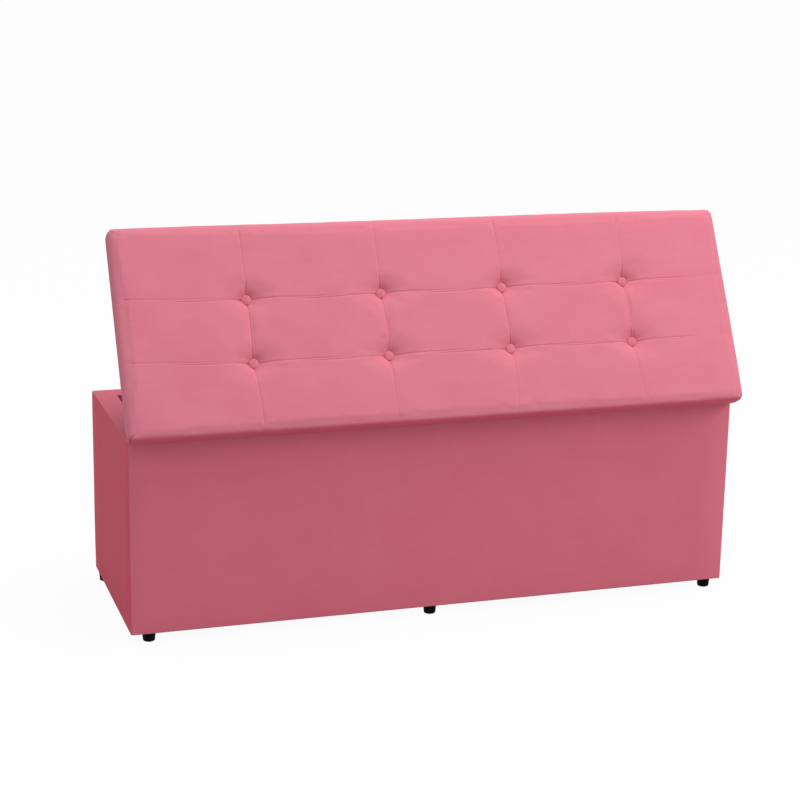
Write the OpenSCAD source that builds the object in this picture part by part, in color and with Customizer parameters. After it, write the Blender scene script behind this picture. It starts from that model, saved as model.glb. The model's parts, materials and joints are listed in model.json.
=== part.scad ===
// Upholstered storage bench: a box on six feet with a button-tufted lid on three hinges and two gas struts.
// Millimetres. +X runs along the bench, +Y points to the opening side, +Z is up, and the feet stand on z = 0.
// The lid is drawn open, as it stands on its struts.

/* [Box] */
// Length of the box over its cover
box_width = 1400; // [1200:10:1600]
// Depth of the box over its cover
box_depth = 460; // [430:5:560]
// Height of the box above its feet
box_height = 430; // [400:5:480]
// Thickness of the suede
suede_t = 1.2; // [0.8:0.1:1.6]
// Width of the suede turned in under the bottom
bottom_turn = 34; // [32:1:40]
// Depth of the suede turned down inside the rim
rim_turn = 30; // [20:1:40]
// Thickness of the dark lining
lining_t = 0.8; // [0.5:0.1:1.2]
// Thickness of the dust cloth under the bottom
dust_cloth_t = 0.8; // [0.5:0.1:1.2]

/* [Frame] */
// Thickness of the outer wall boards
outer_board_t = 3; // [3:0.5:6]
// Thickness of the inner wall boards
inner_board_t = 3; // [3:0.5:6]
// Depth of the battens between the wall boards
batten_depth = 42; // [38:1:50]
// Height of the rails
rail_height = 25; // [22:1:40]
// Width of the studs
stud_width = 30; // [26:1:36]
// Thickness of the floor board
floor_t = 6; // [4:0.5:12]
// Number of battens under the floor
bearer_count = 5; // [3:1:7]
// Number of studs in each long wall
long_wall_studs = 4; // [2:1:6]

/* [Feet] */
// Diameter of a foot
foot_d = 30; // [24:1:34]
// Height of a foot
foot_height = 24; // [22:1:40]
// Centre of the back left foot from the left end of the box
back_left_foot_inset = 44; // [20:1:60]
// Centre of the front left foot from the left end of the box
front_left_foot_inset = 18; // [18:1:60]
// Centre of a right foot from the right end of the box
right_foot_inset = 30; // [20:1:60]
// The back middle foot's distance from the middle, to the left
back_middle_foot_shift = 13; // [0:1:20]
// Foot centre from the long side of the box
foot_inset_y = 28; // [24:1:30]
// Diameter of a foot's screw
foot_screw_d = 4; // [3:0.5:5]
// Length of the screw's thread in the rail
foot_screw_grip = 20; // [12:1:24]

/* [Lid] */
// Opening angle at which the struts stop the lid
open_angle = 61; // [50:1:75]
// How far the padding stands over the box at each end
end_overhang = 4; // [2:0.5:8]
// How far the padding stands over the box at the hinge side
hinge_overhang = 9; // [8:0.5:11]
// How far the padding stops short of the box at the opening side
front_setback = 3; // [0:0.5:8]
// Thickness of the lid board
lid_board_t = 15; // [12:1:22]
// Height of the padding's seams above the lid board
seam_height = 40; // [30:1:60]
// Rise of each panel between its seams
panel_crown = 3.5; // [2:0.5:6]
// Drop of the padding around each button, below the seams
tuft_drop = 3.8; // [2:0.1:8]
// Drop of the padded edge's roll
edge_drop = 12; // [8:1:18]
// Width of the padded edge's roll
edge_roll = 28; // [22:1:40]
// How far the sides draw in at a seam
seam_pull = 1.5; // [0:0.5:3]
// How far the corners are drawn in
corner_pull = 3; // [1:0.5:6]
// Thickness of the cloth under the lid
under_cloth_t = 1.2; // [0.6:0.1:1.2]

/* [Tufting] */
// Columns of buttons
tuft_columns = 4; // [3:1:5]
// Distance between two columns
tuft_pitch = 292; // [200:1:292]
// How far the columns sit to the right of the middle
tuft_shift = 15; // [-20:1:20]
// How far the second column of tufts strays to the right
second_column_stray = 10; // [0:1:15]
// First row of buttons from the hinge side
first_row = 141; // [120:1:150]
// Distance between the two rows
row_pitch = 142; // [110:1:150]
// Diameter of a button
button_d = 24; // [18:1:26]
// Height of a button
button_height = 6; // [4:0.5:8]
// Height of a button's straight edge
button_edge = 2; // [1:0.5:3]
// Diameter of the twine
twine_d = 2; // [1:0.5:3]
// Diameter of the washer that holds the twine
washer_d = 12; // [8:1:16]
// Thickness of that washer
washer_t = 1.5; // [1:0.5:2]

/* [Hinges] */
// Distance between two hinges
hinge_pitch = 480; // [400:5:520]
// Length of a hinge
leaf_length = 60; // [50:1:90]
// Width of a leaf from its pin
leaf_width = 30; // [26:1:34]
// Thickness of a leaf
leaf_t = 1.2; // [1:0.1:1.4]
// Diameter of the knuckles
knuckle_d = 5; // [4.8:0.1:5.2]
// Diameter of the pin
pin_d = 2.5; // [2:0.1:2.8]
// Gap between the closed lid and the rim
closed_gap = 0.6; // [0.4:0.1:1]
// Screw diameter
hinge_screw_d = 3; // [2.5:0.5:3.5]
// Screw length
hinge_screw_length = 12; // [8:1:13]
// Screw centres along the leaf, from its middle
hinge_screw_pitch = 21; // [15:1:22]
// Screw centres from the pin
hinge_screw_offset = 18; // [15:1:20]

/* [Gas struts] */
// Distance from the hinge pin to each end of a strut
strut_arm = 250; // [240:1:270]
// Angle at the hinge pin between the strut's two ends, lid closed
strut_closed_angle = 66; // [62:1:70]
// Angle of the lid's ball stud below the lid
lid_stud_angle = 5; // [5:0.5:8]
// Distance of the strut's middle line from the end wall
strut_inset = 16; // [15:0.5:20]
// Outer diameter of the cylinder
cylinder_d = 18; // [15:1:18]
// Wall of the cylinder
cylinder_wall = 1; // [0.8:0.1:1.5]
// Diameter of the rod
rod_d = 8; // [6:1:8]
// Diameter of a stud's ball
ball_d = 10; // [8:1:10]
// Diameter of a ball stud's neck
stud_neck_d = 5; // [4:0.5:5]
// Diameter of a socket
socket_d = 14; // [13:0.5:15]
// Length of a socket across the strut
socket_width = 12; // [11:0.5:13]
// Length of a socket from its ball to the strut
socket_reach = 20; // [16:1:24]
// Thickness of the bracket plates
bracket_t = 2; // [1.5:0.5:3]
// Width of the bracket plates
bracket_width = 22; // [18:1:24]
// Height of the bracket plate on the wall
bracket_height = 44; // [40:1:60]
// Screw length in the wall and the lid board
bracket_screw_length = 14; // [10:1:15]
// Screw centres on the wall's plate, from its middle
bracket_screw_pitch = 15; // [13:1:16]

/* [Hidden] */
$fn = 48;

suede = [0.85, 0.47, 0.54];
suede_dark = [0.72, 0.36, 0.43];
dark_cloth = [0.12, 0.11, 0.12];
hardboard = [0.55, 0.40, 0.26];
pine = [0.85, 0.70, 0.48];
plywood = [0.80, 0.66, 0.46];
foam_cream = [0.93, 0.88, 0.72];
twine_white = [0.88, 0.86, 0.80];
black_plastic = [0.07, 0.06, 0.07];
zinc = [0.72, 0.72, 0.70];
black_paint = [0.10, 0.10, 0.11];
steel = [0.80, 0.80, 0.82];

// Clearances
soft_gap = 0.3;
pin_gap = 0.05;
hole_gap = 0.05;
knuckle_gap = 0.3;
ball_gap = 0.3;
rod_gap = 0.1;
piston_gap = 0.3;
twine_gap = 1;
washer_gap = 0.5;
screw_head_gap = 0.5;
strut_gap = 2.2;
under_cloth_gap = 2;
overcut = 1;

// Places of the box
half_width = box_width / 2;
edge_inset = 7;
edge_height = lid_board_t + seam_height + panel_crown - edge_drop * (1 - rise(edge_inset, edge_roll));
hinge_out = knuckle_d / 2 + soft_gap;
rest_shift = (hinge_out + edge_height * sin(open_angle)) / 2;
base_z = foot_height;
rim_z = base_z + box_height;
frame_bottom = base_z + suede_t;
frame_top = rim_z - suede_t;
rail_top = frame_bottom + rail_height;
floor_top = rail_top + floor_t;
back_y = rest_shift - box_depth / 2;
front_y = back_y + box_depth;

// Depths into a wall, from its outer face
board_in = suede_t;
batten_in = board_in + outer_board_t;
inner_board_in = batten_in + batten_depth;
wall_in = inner_board_in + inner_board_t;
lining_in = wall_in + lining_t;

// Places of the hinge axis, and of the lid's layers above it
hinge_y = back_y - hinge_out;
hinge_z = rim_z + closed_gap / 2;
lid_low = closed_gap / 2;
board_low = lid_low + under_cloth_t;
board_high = board_low + lid_board_t;
seam_z = board_high + seam_height;
seat_z = seam_z - tuft_drop;

// Outline of the padding, at its widest
widest_share = 0.35;
hem_inset = 4.5;
hinge_hem_y = 1.3;
hinge_hem_rise = 1.7;
hinge_bulge_rise = 8.5;
pad_half_width = half_width + end_overhang;
pad_back = hinge_out - hinge_overhang;
pad_front = hinge_out + box_depth - front_setback;
pad_widest_z = board_high + seam_height * widest_share;
hinge_hem_inset = hinge_hem_y - pad_back;
board_inset = hem_inset + suede_t + soft_gap;
board_back = pad_back + hinge_hem_inset + suede_t + soft_gap;
hem_z = board_low + soft_gap;
hinge_hem_z = board_low + hinge_hem_rise;
hinge_bulge_z = board_low + hinge_bulge_rise;
rim_seam_z = board_low + edge_height - panel_crown;

// Stations of the padding's surface
seat_margin = 1;
seat_half = button_d / 2 + seat_margin;
same_place = 0.1;
rim_share = 0.7;
panel_ramp = 60;
row_ramp = 45;
channel_ramp = 30;
columns = [for (c = [0 : tuft_columns - 1])
    tuft_shift + (c - (tuft_columns - 1) / 2) * tuft_pitch + (c == 1 ? second_column_stray : 0)];
rows = [hinge_out + first_row, hinge_out + first_row + row_pitch];
column_ends = concat([edge_inset - pad_half_width], columns, [pad_half_width - edge_inset]);
row_ends = concat([pad_back + edge_inset], rows, [pad_front - edge_inset]);
xs = stations(column_ends, panel_ramp);
ys = stations(row_ends, row_ramp);
nx = len(xs) - 1;
ny = len(ys) - 1;
rim_count = 2 * (nx + ny);

// Sizes of the small fixings
foot_screw_head_d = 2 * foot_screw_d;
screw_head_share = 0.7;
foot_screw_head_h = foot_screw_d * screw_head_share;
foot_sole = 10;
foot_recess = foot_height - foot_sole;
washer_recess = washer_t * 2;
lid_flange_width = 28;

// Ends of the knuckles, from the middle of the pin
lid_knuckle = leaf_length / 6 - knuckle_gap / 2;
base_knuckle = leaf_length / 6 + knuckle_gap / 2;

// Places of the struts
base_stud_angle = strut_closed_angle + lid_stud_angle;
base_stud = [strut_arm * cos(base_stud_angle), -strut_arm * sin(base_stud_angle)];
lid_stud = [strut_arm * cos(lid_stud_angle), -strut_arm * sin(lid_stud_angle)];
strut_x = half_width - lining_in - strut_inset;
strut_closed = 2 * strut_arm * sin(strut_closed_angle / 2);
strut_open = 2 * strut_arm * sin((strut_closed_angle + open_angle) / 2);
strut_lean = 90 - (strut_closed_angle + 2 * lid_stud_angle - open_angle) / 2;
socket_end_gap = 5;
gland_length = 10;
cylinder_cap = 3;
piston_length = 8;
piston_stop = 20;
socket_lip = 0.4;
socket_shoulder = 0.5;
end_stud_share = 0.6;
bore_d = cylinder_d - 2 * cylinder_wall;
cylinder_end = strut_closed - socket_reach - socket_end_gap;
piston_low = cylinder_end - gland_length - piston_stop;
flange_x = strut_x + cylinder_d / 2 + strut_gap;
plate_x = half_width - lining_in - bracket_t;

// Points between the seam lines, close to each line and a ramp away from it
function stations(ends, ramp) = [
    for (k = [0 : len(ends) - 2])
        each [ends[k], ends[k] + seat_half, ends[k] + ramp, ends[k + 1] - ramp, ends[k + 1] - seat_half],
    ends[len(ends) - 1]
];

// Distance from a value to the nearest of some lines
function nearest(v, lines) = min([for (l = lines) abs(v - l)]);

// Rises from 0 on a line to 1 at a distance from it
function rise(d, width) = d >= width ? 1 : sin(90 * d / width);

// 1 on a line, falling to 0 at the seat's edge
function on_line(v, lines) = max(0, 1 - nearest(v, lines) / seat_half);

// Height of the padding's outer surface
function pad_height(x, y) =
    let (dx = nearest(x, columns),
         dy = nearest(y, rows),
         edge = min(pad_half_width - abs(x), y - pad_back, pad_front - y),
         seat = max(dx, dy) < seat_half + same_place)
    seat ? seat_z
         : seam_z + panel_crown * rise(dx, channel_ramp) * rise(dy, channel_ramp)
           - edge_drop * (1 - rise(edge, edge_roll));

// Grid place of each point around the rim, anticlockwise from above
function rim_place(k) =
    k < nx ? [k, 0]
    : k < nx + ny ? [nx, k - nx]
    : k < 2 * nx + ny ? [2 * nx + ny - k, ny]
    : [0, rim_count - k];

// Side that a grid place lies on: -1, 0 or 1
function edge_side(i, n) = i == 0 ? -1 : i == n ? 1 : 0;

// Plan position of a rim point, drawn in by an inset from the ends and one from the long sides
function rim_xy(i, j, end_inset, long_inset, pulled) =
    let (sx = edge_side(i, nx),
         sy = edge_side(j, ny),
         pull = !pulled ? 0
                : sx != 0 && sy != 0 ? corner_pull
                : seam_pull * (sx == 0 ? on_line(xs[i], columns) : on_line(ys[j], rows)),
         x = sx == 0 ? xs[i] : sx * (pad_half_width - end_inset - pull),
         y = sy == 0 ? ys[j] : sy < 0 ? pad_back + long_inset + pull : pad_front - long_inset - pull)
    [x, y];

// Point of the top surface, sunk by a depth
function top_point(i, j, depth) =
    let (on_rim = edge_side(i, nx) != 0 || edge_side(j, ny) != 0,
         inset = edge_inset + rim_share * depth,
         xy = rim_xy(i, j, inset, inset, true),
         z = pad_height(xs[i], ys[j]))
    on_rim ? [xy[0], xy[1], z - rim_share * depth] : [xs[i], ys[j], z - depth];

function top_grid(depth) = [for (j = [0 : ny], i = [0 : nx]) top_point(i, j, depth)];

// Ring of points around the side. A place is its inset from the ends, from the long side, and its height
function side_ring(place, hinge_place, pulled) = [
    for (k = [0 : rim_count - 1])
        let (p = rim_place(k),
             at = p[1] == 0 ? hinge_place : place,
             xy = rim_xy(p[0], p[1], at[0], at[1], pulled))
        [xy[0], xy[1], at[2]]
];

// Index of the rim point k in a grid that starts at an index
function rim_index(k, start) =
    let (p = rim_place(k % rim_count)) start + p[1] * (nx + 1) + p[0];
function ring_index(k, start) = start + k % rim_count;

function grid_faces(start, up) = [
    for (j = [0 : ny - 1], i = [0 : nx - 1])
        let (a = start + j * (nx + 1) + i, b = a + 1, c = a + nx + 1, d = c + 1)
        each (up ? [[a, c, d], [a, d, b]] : [[a, d, c], [a, b, d]])
];

// Faces between two loops of rim points, seen from outside or from inside
function band(upper, lower, outside) = [
    for (k = [0 : rim_count - 1])
        let (a = upper[k], b = upper[(k + 1) % rim_count], c = lower[(k + 1) % rim_count], d = lower[k])
        each (outside ? [[a, b, c], [a, c, d]] : [[a, c, b], [a, d, c]])
];

function rim_loop(start) = [for (k = [0 : rim_count - 1]) rim_index(k, start)];
function ring_loop(start) = [for (k = [0 : rim_count - 1]) ring_index(k, start)];

module in_lid() {
    translate([0, hinge_y, hinge_z])
        rotate([open_angle, 0, 0])
            children();
}

// A box between two corners
module block(low, high) {
    translate(low)
        cube(high - low);
}

// A box along the walls, its y counted from the back face
module wall_block(x0, x1, y0, y1, z0, z1) {
    block([x0, back_y + y0, z0], [x1, back_y + y1, z1]);
}

module mirrored(side) {
    if (side > 0)
        children();
    else
        mirror([1, 0, 0])
            children();
}

// Countersunk screw along -Z with its flat head at z = 0
module wood_screw(d, length, head_h) {
    head_r = d / 2 + head_h;
    translate([0, 0, -head_h])
        cylinder(r1 = d / 2, r2 = head_r, h = head_h);
    translate([0, 0, -length])
        cylinder(r = d / 2, h = length - head_h);
}

// The room that such a screw takes
module screw_room(d, length, head_h) {
    wood_screw(d + 2 * hole_gap, length + soft_gap, head_h);
}

module panel_along(y0, y1, x_in, z0) {
    wall_block(x_in - half_width, half_width - x_in, y0, y1, z0, frame_top);
}

module panel_across(side, x0, x1, y_in, z0) {
    mirrored(side)
        wall_block(half_width - x1, half_width - x0, y_in, box_depth - y_in, z0, frame_top);
}

module base_cover() {
    color(suede)
        difference() {
            wall_block(-half_width, half_width, 0, box_depth, base_z, rim_z);
            wall_block(board_in - half_width, half_width - board_in, board_in, box_depth - board_in,
                frame_bottom, frame_top - rim_turn);
            difference() {
                wall_block(board_in - half_width, half_width - board_in, board_in, box_depth - board_in,
                    frame_top - rim_turn, frame_top);
                wall_block(wall_in - half_width, half_width - wall_in, wall_in, box_depth - wall_in,
                    frame_top - rim_turn, frame_top);
            }
            well_room(wall_in + suede_t, frame_top - rim_turn - soft_gap, rim_z + overcut);
            well_room(bottom_turn, base_z - overcut, frame_bottom);
            hinge_places()
                leaf_room(-leaf_t - lid_low, leaf_t + lid_low + overcut);
            foot_places()
                cylinder(d = foot_screw_d + 2 * hole_gap, h = base_z + foot_screw_grip);
        }
}

module well_room(inset, z0, z1) {
    wall_block(inset - half_width, half_width - inset, inset, box_depth - inset, z0, z1);
}

module front_outer_panel() {
    color(hardboard)
        panel_along(box_depth - batten_in, box_depth - board_in, board_in, frame_bottom);
}

module back_outer_panel() {
    color(hardboard)
        panel_along(board_in, batten_in, board_in, frame_bottom);
}

module left_outer_panel() {
    color(hardboard)
        panel_across(-1, board_in, batten_in, batten_in, frame_bottom);
}

module right_outer_panel() {
    color(hardboard)
        panel_across(1, board_in, batten_in, batten_in, frame_bottom);
}

module front_inner_panel() {
    color(hardboard)
        panel_along(box_depth - wall_in, box_depth - inner_board_in, inner_board_in, floor_top);
}

module back_inner_panel() {
    color(hardboard)
        panel_along(inner_board_in, wall_in, inner_board_in, floor_top);
}

module end_inner_panel(side) {
    color(hardboard)
        difference() {
            panel_across(side, inner_board_in, wall_in, wall_in, floor_top);
            mirrored(side)
                base_bracket_screws()
                    screw_room(hinge_screw_d, bracket_screw_length, bracket_t);
        }
}

module left_inner_panel() {
    end_inner_panel(-1);
}

module right_inner_panel() {
    end_inner_panel(1);
}

module long_rail(y0, z0) {
    wall_block(batten_in - half_width, half_width - batten_in, y0, y0 + batten_depth, z0, z0 + rail_height);
}

module end_rail(side, z0) {
    mirrored(side)
        wall_block(half_width - inner_board_in, half_width - batten_in, inner_board_in,
            box_depth - inner_board_in, z0, z0 + rail_height);
}

module front_top_rail() {
    color(pine)
        long_rail(box_depth - inner_board_in, frame_top - rail_height);
}

module back_top_rail() {
    color(pine)
        difference() {
            long_rail(batten_in, frame_top - rail_height);
            base_hinge_screws()
                screw_room(hinge_screw_d, hinge_screw_length, leaf_t);
        }
}

module left_top_rail() {
    color(pine)
        end_rail(-1, frame_top - rail_height);
}

module right_top_rail() {
    color(pine)
        end_rail(1, frame_top - rail_height);
}

module bottom_long_rail(y0) {
    color(pine)
        difference() {
            long_rail(y0, frame_bottom);
            foot_places()
                cylinder(d = foot_screw_d + 2 * hole_gap, h = frame_bottom + foot_screw_grip + soft_gap);
        }
}

module front_bottom_rail() {
    bottom_long_rail(box_depth - inner_board_in);
}

module back_bottom_rail() {
    bottom_long_rail(batten_in);
}

module left_bottom_rail() {
    color(pine)
        end_rail(-1, frame_bottom);
}

module right_bottom_rail() {
    color(pine)
        end_rail(1, frame_bottom);
}

// A post between the floor and the top rails, its x counted from the middle
module post(x0, x1, y0, y1) {
    wall_block(x0, x1, y0, y1, floor_top, frame_top - rail_height);
}

module wall_studs() {
    inner_x = half_width - inner_board_in;
    outer_x = half_width - batten_in;
    stud_step = 2 * inner_x / (long_wall_studs + 1);
    strut_stud = base_stud[0] - hinge_out;
    end_stud = box_depth * end_stud_share;
    color(pine)
        difference() {
            union() {
                for (side = [-1, 1])
                    mirrored(side) {
                        post(inner_x, outer_x, batten_in, inner_board_in);
                        post(inner_x, outer_x, box_depth - inner_board_in, box_depth - batten_in);
                        post(inner_x, outer_x, strut_stud - stud_width / 2, strut_stud + stud_width / 2);
                        post(inner_x, outer_x, end_stud, end_stud + stud_width);
                    }
                for (k = [1 : long_wall_studs]) {
                    x = k * stud_step - inner_x;
                    post(x - stud_width / 2, x + stud_width / 2, batten_in, inner_board_in);
                    post(x - stud_width / 2, x + stud_width / 2, box_depth - inner_board_in,
                        box_depth - batten_in);
                }
            }
            for (side = [-1, 1])
                mirrored(side)
                    base_bracket_screws()
                        screw_room(hinge_screw_d, bracket_screw_length, bracket_t);
        }
}

module floor_bearers() {
    inner_x = half_width - inner_board_in;
    step = 2 * inner_x / (bearer_count + 1);
    color(pine)
        for (k = [1 : bearer_count])
            wall_block(k * step - inner_x - batten_depth / 2, k * step - inner_x + batten_depth / 2,
                inner_board_in, box_depth - inner_board_in, frame_bottom, rail_top);
}

module floor_panel() {
    color(plywood)
        wall_block(batten_in - half_width, half_width - batten_in, batten_in, box_depth - batten_in,
            rail_top, floor_top);
}

module well_lining() {
    color(dark_cloth)
        difference() {
            well_room(wall_in, floor_top, frame_top - rim_turn - soft_gap);
            well_room(lining_in, floor_top + lining_t, rim_z);
            for (side = [-1, 1])
                mirrored(side)
                    base_bracket_screws()
                        screw_room(hinge_screw_d, bracket_screw_length, bracket_t);
        }
}

module dust_cloth() {
    inset = bottom_turn + soft_gap;
    color(dark_cloth)
        well_room(inset, frame_bottom - dust_cloth_t, frame_bottom);
}

// Columns -1, 0 and 1 run along X, row -1 is the hinge side and row 1 the opening side
function foot_x(column, row) =
    column > 0 ? half_width - right_foot_inset
    : column == 0 ? (row < 0 ? -back_middle_foot_shift : 0)
    : (row < 0 ? back_left_foot_inset : front_left_foot_inset) - half_width;

module foot_place(column, row) {
    translate([foot_x(column, row), row < 0 ? back_y + foot_inset_y : front_y - foot_inset_y, 0])
        children();
}

module foot_places() {
    for (column = [-1 : 1], row = [-1, 1])
        foot_place(column, row)
            children();
}

module foot(column, row) {
    color(black_plastic)
        foot_place(column, row)
            difference() {
                cylinder(d = foot_d, h = foot_height);
                translate([0, 0, -overcut])
                    cylinder(d = foot_screw_head_d + 2 * screw_head_gap, h = foot_recess + overcut);
                cylinder(d = foot_screw_d + 2 * hole_gap, h = foot_height + overcut);
            }
}

module foot_back_left() {
    foot(-1, -1);
}

module foot_back_middle() {
    foot(0, -1);
}

module foot_back_right() {
    foot(1, -1);
}

module foot_front_left() {
    foot(-1, 1);
}

module foot_front_middle() {
    foot(0, 1);
}

module foot_front_right() {
    foot(1, 1);
}

module foot_screws() {
    color(zinc)
        foot_places() {
            translate([0, 0, foot_recess - foot_screw_head_h])
                cylinder(d = foot_screw_head_d, h = foot_screw_head_h);
            translate([0, 0, foot_recess])
                cylinder(d = foot_screw_d, h = frame_bottom + foot_screw_grip - foot_recess);
        }
}

// Hinge parts are drawn around the hinge axis, the base leaf below it and the lid leaf above
module hinge_place(column) {
    translate([column * hinge_pitch, hinge_y, hinge_z])
        children();
}

module hinge_places() {
    for (column = [-1 : 1])
        hinge_place(column)
            children();
}

module leaf_room(z0, height) {
    block([-leaf_length / 2 - soft_gap, -hinge_overhang, z0],
        [leaf_length / 2 + soft_gap, leaf_width + soft_gap, z0 + height]);
}

module along_x(x0, x1, d) {
    translate([x0, 0, 0])
        rotate([0, 90, 0])
            cylinder(d = d, h = x1 - x0);
}

module leaf_screw_places(z) {
    for (k = [-1 : 1])
        translate([k * hinge_screw_pitch, hinge_screw_offset, z])
            children();
}

module base_leaf() {
    color(zinc)
        difference() {
            union() {
                block([-leaf_length / 2, hinge_out, -lid_low - leaf_t],
                    [leaf_length / 2, leaf_width, -lid_low]);
                for (side = [-1, 1])
                    mirrored(side) {
                        block([base_knuckle, 0, -lid_low - leaf_t], [leaf_length / 2, hinge_out, -lid_low]);
                        along_x(base_knuckle, leaf_length / 2, knuckle_d);
                    }
            }
            along_x(-leaf_length, leaf_length, pin_d + 2 * pin_gap);
            leaf_screw_places(-lid_low)
                screw_room(hinge_screw_d, hinge_screw_length, leaf_t);
        }
}

module lid_leaf() {
    color(zinc)
        difference() {
            union() {
                block([-leaf_length / 2, hinge_out, lid_low],
                    [leaf_length / 2, leaf_width, lid_low + leaf_t]);
                block([-lid_knuckle, 0, lid_low], [lid_knuckle, hinge_out, lid_low + leaf_t]);
                along_x(-lid_knuckle, lid_knuckle, knuckle_d);
            }
            along_x(-leaf_length, leaf_length, pin_d + 2 * pin_gap);
            lid_leaf_screw_places()
                screw_room(hinge_screw_d, hinge_screw_length, leaf_t);
        }
}

module lid_leaf_screw_places() {
    leaf_screw_places(lid_low)
        mirror([0, 0, 1])
            children();
}

module base_hinge_screws() {
    hinge_places()
        leaf_screw_places(-lid_low)
            children();
}

module lid_hinge_screws() {
    for (column = [-1 : 1])
        translate([column * hinge_pitch, 0, 0])
            lid_leaf_screw_places()
                children();
}

module left_hinge_base_leaf() {
    hinge_place(-1)
        base_leaf();
}

module middle_hinge_base_leaf() {
    hinge_place(0)
        base_leaf();
}

module right_hinge_base_leaf() {
    hinge_place(1)
        base_leaf();
}

module hinge_pins() {
    color(steel)
        hinge_places()
            along_x(-leaf_length / 2, leaf_length / 2, pin_d);
}

module hinge_base_screws() {
    color(zinc)
        base_hinge_screws()
            wood_screw(hinge_screw_d, hinge_screw_length, leaf_t);
}

module hinge_lid_leaf(column) {
    in_lid()
        translate([column * hinge_pitch, 0, 0])
            lid_leaf();
}

module left_hinge_lid_leaf() {
    hinge_lid_leaf(-1);
}

module middle_hinge_lid_leaf() {
    hinge_lid_leaf(0);
}

module right_hinge_lid_leaf() {
    hinge_lid_leaf(1);
}

module hinge_lid_screws() {
    color(zinc)
        in_lid()
            lid_hinge_screws()
                wood_screw(hinge_screw_d, hinge_screw_length, leaf_t);
}

module tuft_places() {
    for (x = columns, y = rows)
        translate([x, y, 0])
            children();
}

// The board's outline with its corners cut off, as the drawn-in corners of the padding need
module board_plate() {
    x = pad_half_width - board_inset;
    y = pad_front - board_inset;
    c = corner_pull;
    translate([0, 0, board_low])
        linear_extrude(height = lid_board_t)
            polygon([[c - x, board_back], [x - c, board_back], [x, board_back + c], [x, y - c],
                [x - c, y], [c - x, y], [-x, y - c], [-x, board_back + c]]);
}

module lid_board() {
    color(plywood)
        in_lid()
            difference() {
                board_plate();
                tuft_places() {
                    cylinder(d = twine_d + 2 * twine_gap, h = board_high + overcut);
                    cylinder(d = washer_d + 2 * washer_gap, h = board_low + washer_recess);
                }
                lid_hinge_screws()
                    screw_room(hinge_screw_d, hinge_screw_length, leaf_t);
                for (side = [-1, 1])
                    mirrored(side)
                        lid_bracket_screws()
                            screw_room(hinge_screw_d, bracket_screw_length, bracket_t);
            }
}

module twine_room() {
    tuft_places()
        translate([0, 0, board_low])
            cylinder(d = twine_d + 2 * twine_gap, h = seat_z, $fn = 4);
}

module lid_foam() {
    sunk = suede_t + soft_gap;
    low_inset = hem_inset * (pad_widest_z - board_high) / (pad_widest_z - hinge_hem_z) + sunk;
    hinge_inset = edge_inset * (pad_widest_z - hinge_bulge_z) / (rim_seam_z - hinge_bulge_z) + sunk;
    grid_points = (nx + 1) * (ny + 1);
    low_start = grid_points + rim_count;
    points = concat(
        top_grid(sunk),
        side_ring([sunk, sunk, pad_widest_z], [hinge_inset, hinge_inset, pad_widest_z], true),
        side_ring([low_inset, low_inset, board_high], [low_inset, low_inset, board_high], true),
        [[0, (pad_back + pad_front) / 2, board_high]]
    );
    floor_middle = low_start + rim_count;
    faces = concat(
        grid_faces(0, true),
        band(rim_loop(0), ring_loop(grid_points), true),
        band(ring_loop(grid_points), ring_loop(low_start), true),
        [for (k = [0 : rim_count - 1]) [low_start + k, low_start + (k + 1) % rim_count, floor_middle]]
    );
    color(foam_cream)
        in_lid()
            difference() {
                polyhedron(points, faces);
                twine_room();
            }
}

// Side and hem rings of the cover, sunk by a depth
function cover_rings(depth) =
    let (hem = hem_inset + depth, hinge_hem = hinge_hem_inset + depth)
    concat(
        side_ring([depth, depth, pad_widest_z], [depth, depth, hinge_bulge_z], true),
        side_ring([hem, hem, hem_z], [hem, hinge_hem, hinge_hem_z], false)
    );

module lid_cover() {
    grid_points = (nx + 1) * (ny + 1);
    shell_points = grid_points + 2 * rim_count;
    points = concat(
        top_grid(0),
        cover_rings(0),
        top_grid(suede_t),
        cover_rings(suede_t)
    );
    outer_side = ring_loop(grid_points);
    outer_hem = ring_loop(grid_points + rim_count);
    inner_side = ring_loop(shell_points + grid_points);
    inner_hem = ring_loop(shell_points + grid_points + rim_count);
    faces = concat(
        grid_faces(0, true),
        band(rim_loop(0), outer_side, true),
        band(outer_side, outer_hem, true),
        band(outer_hem, inner_hem, true),
        band(inner_side, inner_hem, false),
        band(rim_loop(shell_points), inner_side, false),
        grid_faces(shell_points, false)
    );
    color(suede)
        in_lid()
            difference() {
                polyhedron(points, faces);
                twine_room();
            }
}

module button() {
    cap = button_height - button_edge;
    dome_r = (button_d * button_d / 4 + cap * cap) / (2 * cap);
    intersection() {
        cylinder(d = button_d, h = button_height);
        translate([0, 0, button_height - dome_r])
            sphere(r = dome_r, $fn = 96);
    }
}

module button_row(y) {
    color(suede_dark)
        in_lid()
            for (x = columns)
                translate([x, y, seat_z])
                    button();
}

module upper_row_buttons() {
    button_row(rows[1]);
}

module lower_row_buttons() {
    button_row(rows[0]);
}

module button_twines() {
    washer_z = board_low + washer_recess - washer_t;
    color(twine_white)
        in_lid()
            tuft_places() {
                translate([0, 0, washer_z])
                    cylinder(d = washer_d, h = washer_t);
                translate([0, 0, washer_z])
                    cylinder(d = twine_d, h = seat_z - washer_z);
            }
}

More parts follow.
